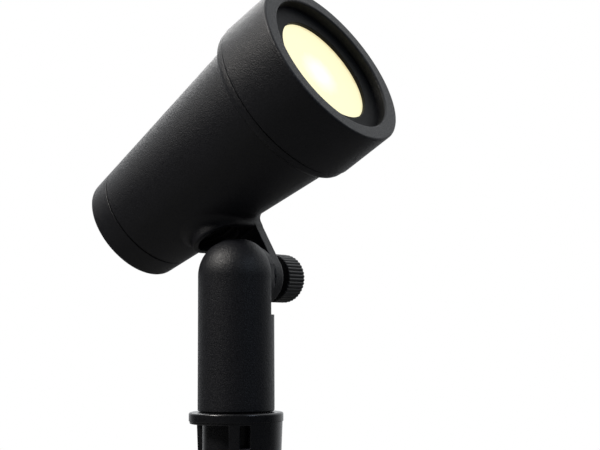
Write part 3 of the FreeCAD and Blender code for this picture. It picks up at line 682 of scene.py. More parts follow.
def finishes(hot_spot: Array) -> dict[FinishKind, bpy.types.Material]:
    """Every finish of the object, built once.

    Args:
        hot_spot: where the painted glow on the glass is brightest, in metres.

    Returns:
        The materials by kind.
    """
    coat = Grain(size_mm=0.50, relief_mm=0.20, strength=0.85, colour_spread=0.50,
                 gloss_spread=0.12)
    moulded = Grain(size_mm=1.6, relief_mm=0.02, strength=0.25, colour_spread=0.15,
                    gloss_spread=0.05)
    plain = Grain(size_mm=0.8, relief_mm=0.03, strength=0.3, colour_spread=0.12,
                  gloss_spread=0.06)
    made = [
        Finish(FinishKind.POWDER_COAT, (0.0078, 0.0083, 0.0112), 0.46, coat, specular=0.42),
        Finish(FinishKind.MOULDED_PLASTIC, (0.0085, 0.0087, 0.0100), 0.28, moulded, specular=0.5),
        Finish(FinishKind.KNOB_PLASTIC, (0.0080, 0.0083, 0.0096), 0.42, plain, specular=0.42),
        Finish(FinishKind.RUBBER, (0.008, 0.008, 0.008), 0.75, plain, specular=0.3),
        Finish(FinishKind.ZINC_STEEL, (0.42, 0.42, 0.43), 0.33, plain, metallic=1.0),
        Finish(FinishKind.BRASS, (0.60, 0.44, 0.16), 0.30, plain, metallic=1.0),
        Finish(FinishKind.CERAMIC, (0.72, 0.70, 0.64), 0.55, plain),
        Finish(FinishKind.LAMP_GLASS, (0.75, 0.75, 0.72), 0.12, plain, coat=0.5),
        Finish(FinishKind.REFLECTOR, (0.78, 0.78, 0.80), 0.12, plain, metallic=1.0),
        Finish(FinishKind.MASK, (0.0045, 0.0045, 0.0052), 0.60, plain, specular=0.22),
    ]
    built = {finish.kind: finish.build() for finish in made}
    # the front glass's painted glow, brightest at a painted hot spot
    glass = PaintedGlowGlass(FinishKind.PAINTED_GLOW_GLASS, tuple(float(c) for c in hot_spot))
    built[FinishKind.PAINTED_GLOW_GLASS] = glass.build()
    return built


# --------------------------------------------------------------------------- the object
@dataclass
class Dresser:
    """Puts finishes on pieces and makes them ride on their bodies.

    Args:
        materials: the finishes by kind.
    """

    frame: dict
    materials: dict[FinishKind, bpy.types.Material]

    def dress(self, piece: bpy.types.Object, body: str, kind: FinishKind, *nodes: str) -> None:
        """Gives a new piece its finish and body, and hides the nodes that it stands for.

        Args:
            piece: the piece.
            body: the body that it rides on.
            kind: its finish.
            nodes: the nodes that it replaces.
        """
        piece.data.materials.clear()
        piece.data.materials.append(self.materials[kind])
        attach(piece, body)
        if nodes:
            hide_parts(*nodes)
        LOG.info("piece %s rides on %s", piece.name, body)

    def coat_node(self, node: str, kind: FinishKind) -> None:
        """Gives a carried-over node its finish.

        Args:
            node: the node's name.
            kind: its finish.
        """
        obj = self.frame["nodes"][node]
        obj.data.materials.clear()
        obj.data.materials.append(self.materials[kind])
        LOG.info("node %s keeps its mesh", node)


@dataclass(frozen=True)
class KnuckleTeeth:
    """The radial teeth of the tilt joint, shared by the stem's boss and the head's ear.

    Args:
        count: teeth in a turn.
        height: crest height at the outer edge, in millimetres, as are all sizes here.
        inner_radius: where the teeth start.
        edge_inset: how far within the edge of the boss or ear they end.
        midplane_y: the plane half way between the two rings.
        crest_gap: how far the crests stay apart with the screw just slack.
    """

    count: int = 24
    height: float = 0.75
    inner_radius: float = 7.0
    edge_inset: float = 0.1
    midplane_y: float = 10.4
    crest_gap: float = 0.15

    @property
    def root_offset(self) -> float:
        """From the midplane to the plane that the teeth rise from."""
        return self.crest_gap / 2 + self.height

    def rise(self, turn: Array, radius: Array, outer_radius: float, phase: float) -> Array:
        """Height of the teeth: a triangle wave round the axis that grows with the radius.

        Args:
            turn: angles round the tilt axis.
            radius: distances from it, in millimetres.
            outer_radius: where the teeth are highest.
            phase: turn of the ring, as a share of the pitch.

        Returns:
            Heights above the root plane, in millimetres.
        """
        wave = triangle_wave(turn * self.count / TAU - phase)
        inside = (radius >= self.inner_radius) & (radius <= outer_radius)
        return np.where(inside, self.height * wave * radius / outer_radius, 0.0)


@dataclass(frozen=True)
class HeadFrame:
    """Where the head lies and the sizes its pieces share, in millimetres along the beam.

    Args:
        pivot_z: height of the tilt pivot.
        pitch_deg: how far the beam points up at rest.
        axis_y: the beam's offset towards the thumb screw.
        axis_height: the beam above the pivot, square to the beam.
        rear_x: the back face.
        rear_radius: the taper's radius at the back face.
        slope: radius gained per millimetre along the beam.
        rear_seam_x: the fine seam of the rear cap.
        cowl_seam_x: the seam of the front ring.
        seam_gap: width of both seams.
        front_x: the front edge.
        cowl_radius: outside of the front ring.
        thread_radius: the spigot that the front ring screws on to.
        chamber_radius: the barrel's bore.
    """

    pivot_z: float = 55.2
    pitch_deg: float = 30.0
    axis_y: float = 2.7
    axis_height: float = 46.1
    rear_x: float = -38.0
    rear_radius: float = 22.5
    slope: float = 0.0983
    rear_seam_x: float = -26.6
    cowl_seam_x: float = 53.6
    seam_gap: float = 0.3
    front_x: float = 77.1
    cowl_radius: float = 34.9
    thread_radius: float = 30.95
    chamber_radius: float = 26.5

    def cone(self, x: Array | float) -> Array | float:
        """Outer radius of the tapered body at a station along the beam."""
        return self.rear_radius + self.slope * (x - self.rear_x)

    def knuckle(self) -> Axes:
        """Axes at the pivot.

        Returns:
            Axes along the beam, along the tilt axis, and up square to both.
        """
        pitch = math.radians(self.pitch_deg)
        along = vec(math.cos(pitch), 0, math.sin(pitch))
        up = vec(-math.sin(pitch), 0, math.cos(pitch))
        return Axes(vec(0, 0, self.pivot_z) * MM, along, vec(0, 1, 0), up)

    def beam(self) -> Axes:
        """The pivot's axes, moved up onto the beam.

        Returns:
            Axes with the same directions.
        """
        level = self.knuckle()
        origin = level.origin + (level.up * self.axis_height + level.side * self.axis_y) * MM
        return Axes(origin, level.along, level.side, level.up)

    def tilt_axis(self) -> Axes:
        """The tilt axis, out through the thumb screw."""
        return Axes(vec(0, 0, self.pivot_z) * MM, vec(0, 1, 0), vec(1, 0, 0), vec(0, 0, 1))


@dataclass
class Head:
    """Body casting with its knuckle, and the rear cap. Sizes in millimetres.

    Args:
        place: the head's frame.
        teeth: the tilt joint's teeth.
        half_width: radius of the hood and of the ear's lower end.
        hood_height: the hood's rim above the pivot.
        hood_wall: the hood's wall round its recess.
        hood_recess: depth of the recess.
        recess_rise: how far the barrel's skin is drawn in above the recess.
        recess_inset: how far inside the hood's outline that starts.
        recess_fade: distance over which it grows.
        recess_round: round of the recess's roof.
        recess_ease: round of its rim.
        hood_rim_round: round of the hood's rim.
        blend: concave fillet from the knuckle up into the barrel.
        blend_reach: how far out from the hood the patch under the fillet goes.
        wall: the barrel's wall.
        under_skin: how far the patch lies under the barrel's skin.
        inner_skin: how far it stays off the barrel's inside.
        ear_thickness: the ear, along the tilt axis.
        ear_round: round of the ear's outer edge.
        ear_ease: round of its inner edge.
        ear_blend: fillet from the ear to the hood.
        ear_hole: radius of the screw's hole.
        ear_hole_y: where along the tilt axis the hole starts.
        tooth_phase: turn of the ear's teeth, as a share of the pitch.
        tooth_root: how deep the teeth reach into the ear.
        tooth_slope: share that allows for the slope of their sides.
        cable_hole: radius of the cable's hole.
        cable_y: its place along the tilt axis.
        rear_bore: bore that takes the rear cap.
        rear_bore_depth: its depth.
        rear_round: round of the cap's back edge.
        cap_clearance: how far the cap's spigot stays off the bore.
        cap_wall: thickness of the cap's back.
        cap_hollow: radius of its hollow.
        cap_round: round of the hollow's floor.
        collar_back_x: where the collar starts.
        collar_radius: the collar.
        collar_round: round of its back edge.
        collar_crease: fillet in the crease behind it.
        spigot_length: the threaded spigot in front of the seam.
        groove_offset: from each seam to its seal's groove.
        groove_width: width of the grooves.
        groove_depth: depth of the grooves.
        edge_ease: round of plain edges.
        station_step: spacing of the barrel's rows over the knuckle.
        segments: steps round the beam.
        cell: lattice step of the knuckle.
        lattice_margin: room round the knuckle in the lattice.
        lattice_past_teeth: how far past the teeth the lattice goes.
        lattice_below_beam: how far below the beam it stops.
    """

    place: HeadFrame
    teeth: KnuckleTeeth
    half_width: float = 10.9
    hood_height: float = 17.01
    hood_wall: float = 2.3
    hood_recess: float = 4.35
    recess_rise: float = 2.3
    recess_inset: float = 0.7
    recess_fade: float = 1.2
    recess_round: float = 0.8
    recess_ease: float = 0.3
    hood_rim_round: float = 0.8
    blend: float = 3.0
    blend_reach: float = 5.0
    wall: float = 3.2
    under_skin: float = 0.04
    inner_skin: float = 0.1
    ear_thickness: float = 5.275
    ear_round: float = 1.0
    ear_ease: float = 0.2
    ear_blend: float = 0.5
    ear_hole: float = 3.3
    ear_hole_y: float = 5.0
    tooth_phase: float = 0.5
    tooth_root: float = 1.0
    tooth_slope: float = 0.9
    cable_hole: float = 3.02
    cable_y: float = -2.0
    rear_bore: float = 19.6
    rear_bore_depth: float = 10.4
    rear_round: float = 2.2
    cap_clearance: float = 0.05
    cap_wall: float = 4.0
    cap_hollow: float = 16.15
    cap_round: float = 2.0
    collar_back_x: float = 49.4
    collar_radius: float = 34.5
    collar_round: float = 2.6
    collar_crease: float = 0.5
    spigot_length: float = 12.9
    groove_offset: float = 1.2
    groove_width: float = 2.2
    groove_depth: float = 1.7
    edge_ease: float = 0.35
    station_step: float = 0.5
    segments: int = 288
    cell: float = 0.3
    lattice_margin: float = 2.0
    lattice_past_teeth: float = 14.0
    lattice_below_beam: float = 12.0

    def barrel(self) -> Surface:
        """The tapered barrel with collar, thread spigot and bore: a profile turned about the beam.

        Returns:
            The surface, with its skin drawn in above the recess.
        """
        p = self.place
        back = p.rear_seam_x + p.seam_gap
        shoulder = p.rear_seam_x + self.rear_bore_depth
        seat_x, seat = shoulder + self.wall / 2, self.rear_bore - self.wall / 2
        groove = p.cowl_seam_x + self.groove_offset
        groove_end = groove + self.groove_width
        front = p.cowl_seam_x + self.spigot_length
        deep = p.thread_radius - self.groove_depth
        bend = p.rear_x + (p.chamber_radius + self.wall - p.rear_radius) / p.slope
        stations = [(x, p.cone(x)) for x in np.arange(
            -self.half_width, self.half_width + self.station_step / 5, self.station_step)]
        return self.recessed(turned(rounded([
            (back, self.rear_bore), (back, p.cone(back), self.edge_ease), *stations,
            (self.collar_back_x, p.cone(self.collar_back_x), self.collar_crease),
            (self.collar_back_x, self.collar_radius, self.collar_round),
            (p.cowl_seam_x, self.collar_radius, self.edge_ease),
            (p.cowl_seam_x, p.thread_radius), (groove, p.thread_radius), (groove, deep),
            (groove_end, deep), (groove_end, p.thread_radius),
            (front, p.thread_radius, self.edge_ease), (front, p.chamber_radius),
            (bend, p.chamber_radius), (seat_x, p.cone(shoulder) - self.wall),
            (seat_x, seat), (shoulder, seat), (shoulder, self.rear_bore)]),
            p.beam(), self.segments))

    def recessed(self, barrel: Surface) -> Surface:
        """The barrel with its skin drawn in above the hood's recess, out of the recess's way.

        Points of the outer skin rise square to the beam by a smooth step of their distance from
        the hood's middle, and so pass inside the metal of the hood's wall and roof.

        Args:
            barrel: the turned barrel.

        Returns:
            The same surface with those points moved.
        """
        p = self.place
        level = p.knuckle()
        offset = (barrel.points - level.origin) / MM
        x, y, z = (offset @ axis for axis in (level.along, level.side, level.up))
        skin = np.abs(np.hypot(y - p.axis_y, z - p.axis_height) - p.cone(x)) < SKIN_MM
        inward = self.half_width - self.recess_inset - np.hypot(x, y)
        share = np.clip(inward / self.recess_fade, 0, 1)
        rise = share ** 2 * (3 - 2 * share) * self.recess_rise * (skin & (z < p.axis_height))
        return Surface(barrel.points + np.multiply.outer(rise * MM, level.up), barrel.faces)

    def knuckle_distance(self, x: Array, y: Array, z: Array) -> Array:
        """Signed distance to hood, ear and teeth, blended into a patch of the barrel.

        The hood is a plan outline, round at its far end, raised to the barrel. The ear is an
        outline round about the pivot with straight sides, given a thickness. Both join the cone
        with a concave fillet, and recess, screw hole and cable hole are taken away.

        Args:
            x: places along the beam, in millimetres from the pivot.
            y: places along the tilt axis.
            z: places square to both, up towards the beam.

        Returns:
            Distances in millimetres, negative inside.
        """
        p = self.place
        inner_y = self.teeth.midplane_y + self.teeth.root_offset
        outer_y = inner_y + self.ear_thickness
        lean = math.cos(math.atan(p.slope))
        cone = (np.hypot(y - p.axis_y, z - p.axis_height) - p.cone(x)) * lean
        middle_y = (outer_y - self.half_width) / 2
        corner = np.where(y > middle_y, self.ear_round, self.half_width)
        plan = both(np.abs(x) - self.half_width,
                    np.abs(y - middle_y) - (outer_y + self.half_width) / 2, corner)
        hood = both(plan, self.hood_height - z, self.hood_rim_round)
        outline = np.hypot(x, np.minimum(z, 0)) - self.half_width
        ear = both(both(outline, y - outer_y, self.ear_round), inner_y - y, self.ear_ease)
        radius = np.hypot(x, z)
        rise = self.teeth.rise(np.arctan2(z, x), radius, self.half_width - self.teeth.edge_inset,
                               self.tooth_phase)
        tooth = np.maximum((inner_y - rise - y) * self.tooth_slope, outline)
        ear = np.minimum(ear, np.maximum(tooth, y - inner_y - self.tooth_root))
        block = either(hood, ear, self.ear_blend)
        patch = np.maximum(cone + self.under_skin, plan - self.blend_reach)
        body = np.maximum(either(block, patch, self.blend), -cone - self.wall + self.inner_skin)
        recess = both(np.hypot(x, y) - self.half_width + self.hood_wall,
                      z - self.hood_height - self.hood_recess, self.recess_round)
        body = both(body, -recess, self.recess_ease)
        screw = np.maximum(radius - self.ear_hole, self.ear_hole_y - y)
        cable = np.hypot(x, y - self.cable_y) - self.cable_hole
        return np.maximum(np.maximum(body, -screw), -cable)

    def knuckle(self) -> Surface:
        """The hood, the ear and its teeth, with the fillet up into the barrel.

        Returns:
            The surface.
        """
        reach = self.half_width + self.blend_reach + self.lattice_margin
        low = vec(-reach, -reach, -self.half_width - self.lattice_margin / 2)
        high = vec(reach, self.teeth.midplane_y + self.lattice_past_teeth,
                   self.place.axis_height - self.lattice_below_beam)
        return implicit(self.knuckle_distance, low, high, self.cell, self.place.knuckle())

    def rear_cap(self) -> Surface:
        """The cap: a turned cup with a rounded back edge and a spigot in the barrel's bore.

        Returns:
            The surface.
        """
        p = self.place
        spigot = self.rear_bore - self.cap_clearance
        groove = p.rear_seam_x + self.groove_offset
        groove_end, deep = groove + self.groove_width, spigot - self.groove_depth
        shoulder = p.rear_seam_x + self.rear_bore_depth
        floor = p.rear_x + self.cap_wall
        return turned(rounded([
            (p.rear_x, 0), (p.rear_x, p.rear_radius, self.rear_round),
            (p.rear_seam_x, p.cone(p.rear_seam_x), self.edge_ease), (p.rear_seam_x, spigot),
            (groove, spigot), (groove, deep), (groove_end, deep), (groove_end, spigot),
            (shoulder, spigot), (shoulder, self.cap_hollow),
            (floor, self.cap_hollow, self.cap_round), (floor, 0)]), p.beam(), self.segments)

    def build(self, dresser: Dresser) -> None:
        """Makes and dresses the casting and the cap.

        Args:
            dresser: what dresses them.
        """
        casting = make_piece("head_casting", joined(self.barrel(), self.knuckle()),
                             smooth_deg=40.0)
        dresser.dress(casting, "head", FinishKind.POWDER_COAT, "head_housing")
        cap = make_piece("rear_cap_turned", self.rear_cap())
        dresser.dress(cap, "head", FinishKind.POWDER_COAT, "rear_cap")


@dataclass
class FrontRing:
    """The screw-on front ring and the lens pack behind its lip. Sizes in millimetres.

    Args:
        place: the head's frame.
        inner_radius: inside of the ring.
        lip: how far the front lip reaches in over the mask.
        recess: depth of the ring's opening in front of the mask.
        rim_round: round of the front edges.
        foot_round: round of the ring's back edge.
        mask_radius: edge of the mask.
        mask_thickness: its thickness.
        mask_gap: from the lip to the mask.
        mask_edge: round of the edge of the mask's hole.
        aperture: radius of the hole in the mask.
        lens_radius: edge of the glass.
        lens_round: round of that edge.
        lens_thickness: thickness of the glass.
        hot_spot_side: how far along the tilt axis the painted hot spot lies off the middle.
        hot_spot_up: how far up, square to the beam, the painted hot spot lies off the middle.
        segments: steps round the ring and the mask.
        lens_segments: steps round the glass.
    """

    place: HeadFrame
    inner_radius: float = 31.0
    lip: float = 2.3
    recess: float = 4.15
    rim_round: float = 0.9
    foot_round: float = 0.4
    mask_radius: float = 30.6
    mask_thickness: float = 1.4
    mask_gap: float = 0.05
    mask_edge: float = 0.35
    aperture: float = 21.75
    lens_radius: float = 30.4
    lens_round: float = 0.4
    lens_thickness: float = 3.2
    hot_spot_side: float = -2.6
    hot_spot_up: float = -1.6
    segments: int = 320
    lens_segments: int = 192

    @property
    def mask_front(self) -> float:
        """Station of the mask's front face along the beam."""
        return self.place.front_x - self.recess - self.mask_gap

    @property
    def lens_front(self) -> float:
        """Station of the glass's front face along the beam."""
        return self.mask_front - self.mask_thickness

    def hot_spot(self) -> Array:
        """Where the painted glow on the glass is brightest, a little off its middle."""
        return self.place.beam().place(
            self.lens_front * MM, self.hot_spot_side * MM, self.hot_spot_up * MM)

    def ring(self) -> Surface:
        """The ring: a turned wall with a lip at its front.

        Returns:
            The surface.
        """
        p = self.place
        foot = p.cowl_seam_x + p.seam_gap
        lip_x = p.front_x - self.recess
        bore = self.inner_radius - self.lip
        return turned(rounded([
            (foot, self.inner_radius), (foot, p.cowl_radius, self.foot_round),
            (p.front_x, p.cowl_radius, self.rim_round), (p.front_x, bore, self.rim_round),
            (lip_x, bore), (lip_x, self.inner_radius)], steps=9), p.beam(), self.segments)

    def mask(self) -> Surface:
        """The mask: a thin turned plate with an eased edge round its hole.

        Returns:
            The surface.
        """
        front, back = self.mask_front, self.lens_front
        return turned(rounded([
            (back, self.aperture), (back, self.mask_radius), (front, self.mask_radius),
            (front, self.aperture, self.mask_edge)]), self.place.beam(), self.segments)

    def glass(self) -> Surface:
        """The glass: a turned disc with eased edges.

        Returns:
            The surface.
        """
        front = self.lens_front
        back = front - self.lens_thickness
        return turned(rounded([
            (back, 0), (front, 0), (front, self.lens_radius, self.lens_round),
            (back, self.lens_radius, self.lens_round)]), self.place.beam(), self.lens_segments)

    def build(self, dresser: Dresser) -> None:
        """Makes and dresses the ring, the mask and the glass.

        Args:
            dresser: what dresses them.
        """
        ring = make_piece("front_ring", self.ring())
        dresser.dress(ring, "cowl", FinishKind.POWDER_COAT, "cowl")
        mask = make_piece("mask_plate", self.mask())
        dresser.dress(mask, "lens_pack", FinishKind.MASK, "mask_ring")
        glass = make_piece("front_glass", self.glass())
        # the glass glows with painted light in place of the lamp behind it
        dresser.dress(glass, "lens_pack", FinishKind.PAINTED_GLOW_GLASS, "lens_glass")


@dataclass
class Stem:
    """The stem casting. Sizes in millimetres.

    Args:
        place: the head's frame, for the pivot.
        teeth: the tilt joint's teeth.
        radius: the round of the stem and of its dome.
        foot_radius: radius at the foot.
        foot_round: round of the foot's edge.
        foot_z: height of the foot's underside.
        flat_y: where the thumb screw's side is cut flat.
        flat_drop: how far below the pivot the flat starts.
        flat_ease: round where the flat meets the stem's round.
        ledge_rise: from the flat's start to the first row above it.
        boss_radius: the toothed boss.
        boss_root: how far it reaches in behind the flat.
        boss_ease: round of its edge.
        ease_turn: turn of that round in radians.
        tapped_radius: the screw's hole.
        crest_inset: from the teeth's end to their first row.
        tooth_step: width of the step at their inner end.
        seat_radius: seat of the nipple in the foot.
        seat_depth: its depth.
        core_radius: cored space above it.
        core_drop: how far below the pivot that ends.
        cable_radius: the cable's hole.
        bush_radius: the bush's seat at the top of the hole.
        bush_drop: from the dome's top to the bush.
        bush_length: the bush.
        cable_y: place of the hole along the tilt axis.
        segments: steps round the stem.
        foot_rows: rows of the foot's round.
        wall_rows: rows from the ledge to the dome.
        dome_rows: rows of the dome.
        ease_rows: rows of the boss's round.
        tooth_rows: rows across the teeth.
        tooth_columns: columns to each tooth.
    """

    place: HeadFrame
    teeth: KnuckleTeeth
    radius: float = 14.65
    foot_radius: float = 14.75
    foot_round: float = 1.0
    foot_z: float = 3.6
    flat_y: float = 3.8
    flat_drop: float = 14.8
    flat_ease: float = 0.7
    ledge_rise: float = 2.0
    boss_radius: float = 12.4
    boss_root: float = 1.8
    boss_ease: float = 0.5
    ease_turn: float = 1.2
    tapped_radius: float = 3.05
    crest_inset: float = 0.25
    tooth_step: float = 0.02
    seat_radius: float = 10.45
    seat_depth: float = 15.0
    core_radius: float = 8.2
    core_drop: float = 15.0
    cable_radius: float = 3.0
    bush_radius: float = 3.6
    bush_drop: float = 0.9
    bush_length: float = 4.0
    cable_y: float = -2.0
    segments: int = 384
    foot_rows: int = 6
    wall_rows: int = 8
    dome_rows: int = 40
    ease_rows: int = 5
    tooth_rows: int = 6
    tooth_columns: int = 16

    def shaft(self) -> Surface:
        """Shaft and dome: a column of circles, its knob side pressed back to the flat.

        Each row is a circle with its own height, radius and middle. Over the dome the rows pass
        from the stem's outline to the cable hole's, and the height is that of the sphere above
        each point. A soft minimum then limits the distance towards the thumb screw.

        Returns:
            The surface.
        """
        turn = full_turn(self.segments)
        top = self.place.pivot_z
        ledge = top - self.flat_drop
        core_top = top - self.core_drop
        seat_top = self.foot_z + self.seat_depth
        free = 2 * self.radius
        rows = [(self.foot_z, self.seat_radius, free)]
        rows += [(self.foot_z + self.foot_round * (1 - math.sin(a)),
                  self.foot_radius - self.foot_round * (1 - math.cos(a)), free)
                 for a in np.linspace(0, math.pi / 2, self.foot_rows)[:0:-1]]
        rows += [(ledge, self.radius, free), (ledge, self.radius, self.flat_y)]
        rows += [(height, self.radius, self.flat_y)
                 for height in np.linspace(ledge + self.ledge_rise, top, self.wall_rows)]
        heights, radii, limit = as_columns(rows)

        share = np.cos(np.linspace(0, math.pi / 2, self.dome_rows)[1:, None])
        dome_radius = share * self.radius + (1 - share) * self.bush_radius
        dome_x = dome_radius * np.cos(turn)
        dome_y = dome_radius * np.sin(turn) + (1 - share) * self.cable_y
        flat = np.minimum(np.hypot(dome_x, dome_y), self.radius)
        dome_z = top + np.sqrt(np.maximum(self.radius ** 2 - flat ** 2, 0))

        bush_floor = top + self.radius - self.bush_drop - self.bush_length
        inner = [(bush_floor, self.bush_radius, self.cable_y),
                 (bush_floor, self.cable_radius, self.cable_y),
                 (core_top, self.cable_radius, self.cable_y), (core_top, self.core_radius, 0.0),
                 (seat_top, self.core_radius, 0.0), (seat_top, self.seat_radius, 0.0)]
        in_z, in_r, in_y = as_columns(inner)
        x = np.concatenate([radii * np.cos(turn), dome_x, in_r * np.cos(turn)])
        y = np.concatenate([radii * np.sin(turn), dome_y, in_r * np.sin(turn) + in_y])
        z = np.concatenate([heights + 0 * turn, dome_z, in_z + 0 * turn])
        limit = np.concatenate([limit + 0 * turn, np.full(dome_x.shape, self.flat_y),
                                np.full((len(inner), len(turn)), free)])
        return grid(np.stack([x, soft_minimum(y, limit, self.flat_ease), z], axis=-1) * MM)

    def boss(self) -> Surface:
        """Toothed boss: rows round the tilt axis, held within the stem's own round.

        Returns:
            The surface.
        """
        turn = full_turn(self.teeth.count * self.tooth_columns)
        end = self.teeth.midplane_y - self.teeth.root_offset
        start = self.flat_y - self.boss_root
        ease = self.boss_ease
        toothed = self.boss_radius - self.teeth.edge_inset
        rows = [(start, self.tapped_radius), (start, self.boss_radius)]
        rows += [(end - ease * (1 - math.sin(a)), self.boss_radius - ease * (1 - math.cos(a)))
                 for a in np.linspace(0, self.ease_turn, self.ease_rows)]
        rows += [(end, radius) for radius in np.linspace(
            toothed - self.crest_inset, self.teeth.inner_radius, self.tooth_rows)]
        rows += [(end, self.teeth.inner_radius - self.tooth_step), (end, self.tapped_radius)]
        along, radius = as_columns(rows)
        within = np.sqrt(self.radius ** 2 - np.minimum(along, self.radius) ** 2)
        radius = np.minimum(radius, within / np.maximum(np.abs(np.cos(turn)), TINY))
        rise = np.where(along >= end - TINY, self.teeth.rise(turn, radius, toothed, 0.0), 0.0)
        return swept(along + rise, radius, turn, self.place.tilt_axis())

    def build(self, dresser: Dresser) -> None:
        """Makes and dresses the casting.

        Args:
            dresser: what dresses it.
        """
        casting = make_piece("stem_turned", joined(self.shaft(), self.boss()),
                             smooth_deg=28.0)
        dresser.dress(casting, "stem", FinishKind.POWDER_COAT, "stem_casting")


@dataclass
class ThumbScrew:
    """The knob and the washer under it. Sizes in millimetres along the tilt axis.

    Args:
        place: the head's frame, for the pivot.
        washer_back: the washer's back face.
        washer_thickness: the washer.
        washer_radius: its edge.
        washer_segments: steps round it.
        hole_radius: its hole.
        face_gap: from the washer to the knob.
        neck_radius: the knob's neck.
        neck_length: length of the neck.
        knob_radius: the knob over its ribs.
        knob_length: length of the ribbed part.
        end_round: round of its front edge.
        back_round: round of its back edge.
        ease: round of small edges.
        socket_radius: the shank's hole in the knob.
        socket_depth: its depth.
        dish_radius: the dish in the knob's face.
        dish_depth: its depth.
        dish_lean: how far its wall leans in.
        dish_round: fillet of its floor.
        ribs: how many ribs the knob has.
        rib_depth: depth of the grooves between them.
        rib_power: power of the wave between ribs; below 1 it widens the ribs.
        rib_columns: columns to each rib.
    """

    place: HeadFrame
    washer_back: float = 16.55
    washer_thickness: float = 1.2
    washer_radius: float = 7.6
    washer_segments: int = 96
    hole_radius: float = 3.3
    face_gap: float = 0.05
    neck_radius: float = 6.0
    neck_length: float = 4.0
    knob_radius: float = 9.65
    knob_length: float = 11.0
    end_round: float = 1.4
    back_round: float = 0.5
    ease: float = 0.3
    socket_radius: float = 3.02
    socket_depth: float = 7.02
    dish_radius: float = 6.6
    dish_depth: float = 0.35
    dish_lean: float = 0.4
    dish_round: float = 0.2
    ribs: int = 40
    rib_depth: float = 0.45
    rib_power: float = 0.8
    rib_columns: int = 12

    def washer(self) -> Surface:
        """A plain turned washer with an eased face.

        Returns:
            The surface.
        """
        front = self.washer_back + self.washer_thickness
        return turned(rounded([
            (self.washer_back, self.hole_radius), (self.washer_back, self.washer_radius),
            (front, self.washer_radius, self.ease), (front, self.hole_radius)], steps=5),
            self.place.tilt_axis(), self.washer_segments)

    def knob(self) -> Surface:
        """The knob: a turned profile whose outer wall is fluted between its ribs.

        The flutes take away a share of the radius that follows a rounded wave round the axis,
        and fade out over the rounded front edge.

        Returns:
            The surface.
        """
        neck = self.washer_back + self.washer_thickness + self.face_gap
        back = neck + self.neck_length
        front = back + self.knob_length
        dish, socket = front - self.dish_depth, neck + self.socket_depth
        profile = rounded([
            (neck, self.socket_radius), (neck, self.neck_radius, self.ease),
            (back, self.neck_radius, self.ease), (back, self.knob_radius, self.back_round),
            (front, self.knob_radius, self.end_round), (front, self.dish_radius, self.ease),
            (dish, self.dish_radius - self.dish_lean, self.dish_round), (dish, 0),
            (socket, 0), (socket, self.socket_radius)], steps=9)
        turn = full_turn(self.ribs * self.rib_columns)
        wave = np.abs(np.sin(turn * self.ribs / 2)) ** self.rib_power
        along, radius = profile[:, 0][:, None] / MM, profile[:, 1][:, None] / MM
        edge = self.knob_radius - self.end_round
        outside = np.clip((radius - edge) / (self.end_round - self.ease), 0, 1)
        outside = outside * (along >= back - SKIN_MM)
        return swept(along, radius - outside * self.rib_depth * (1 - wave), turn,
                     self.place.tilt_axis())

    def build(self, dresser: Dresser) -> None:
        """Makes and dresses the knob and the washer.

        Args:
            dresser: what dresses them.
        """
        washer = make_piece("washer_turned", self.washer())
        dresser.dress(washer, "clamp_washer", FinishKind.ZINC_STEEL, "clamp_washer")
        knob = make_piece("knob_ribbed", self.knob(), smooth_deg=50.0)
        dresser.dress(knob, "thumb_screw", FinishKind.KNOB_PLASTIC, "thumb_knob")


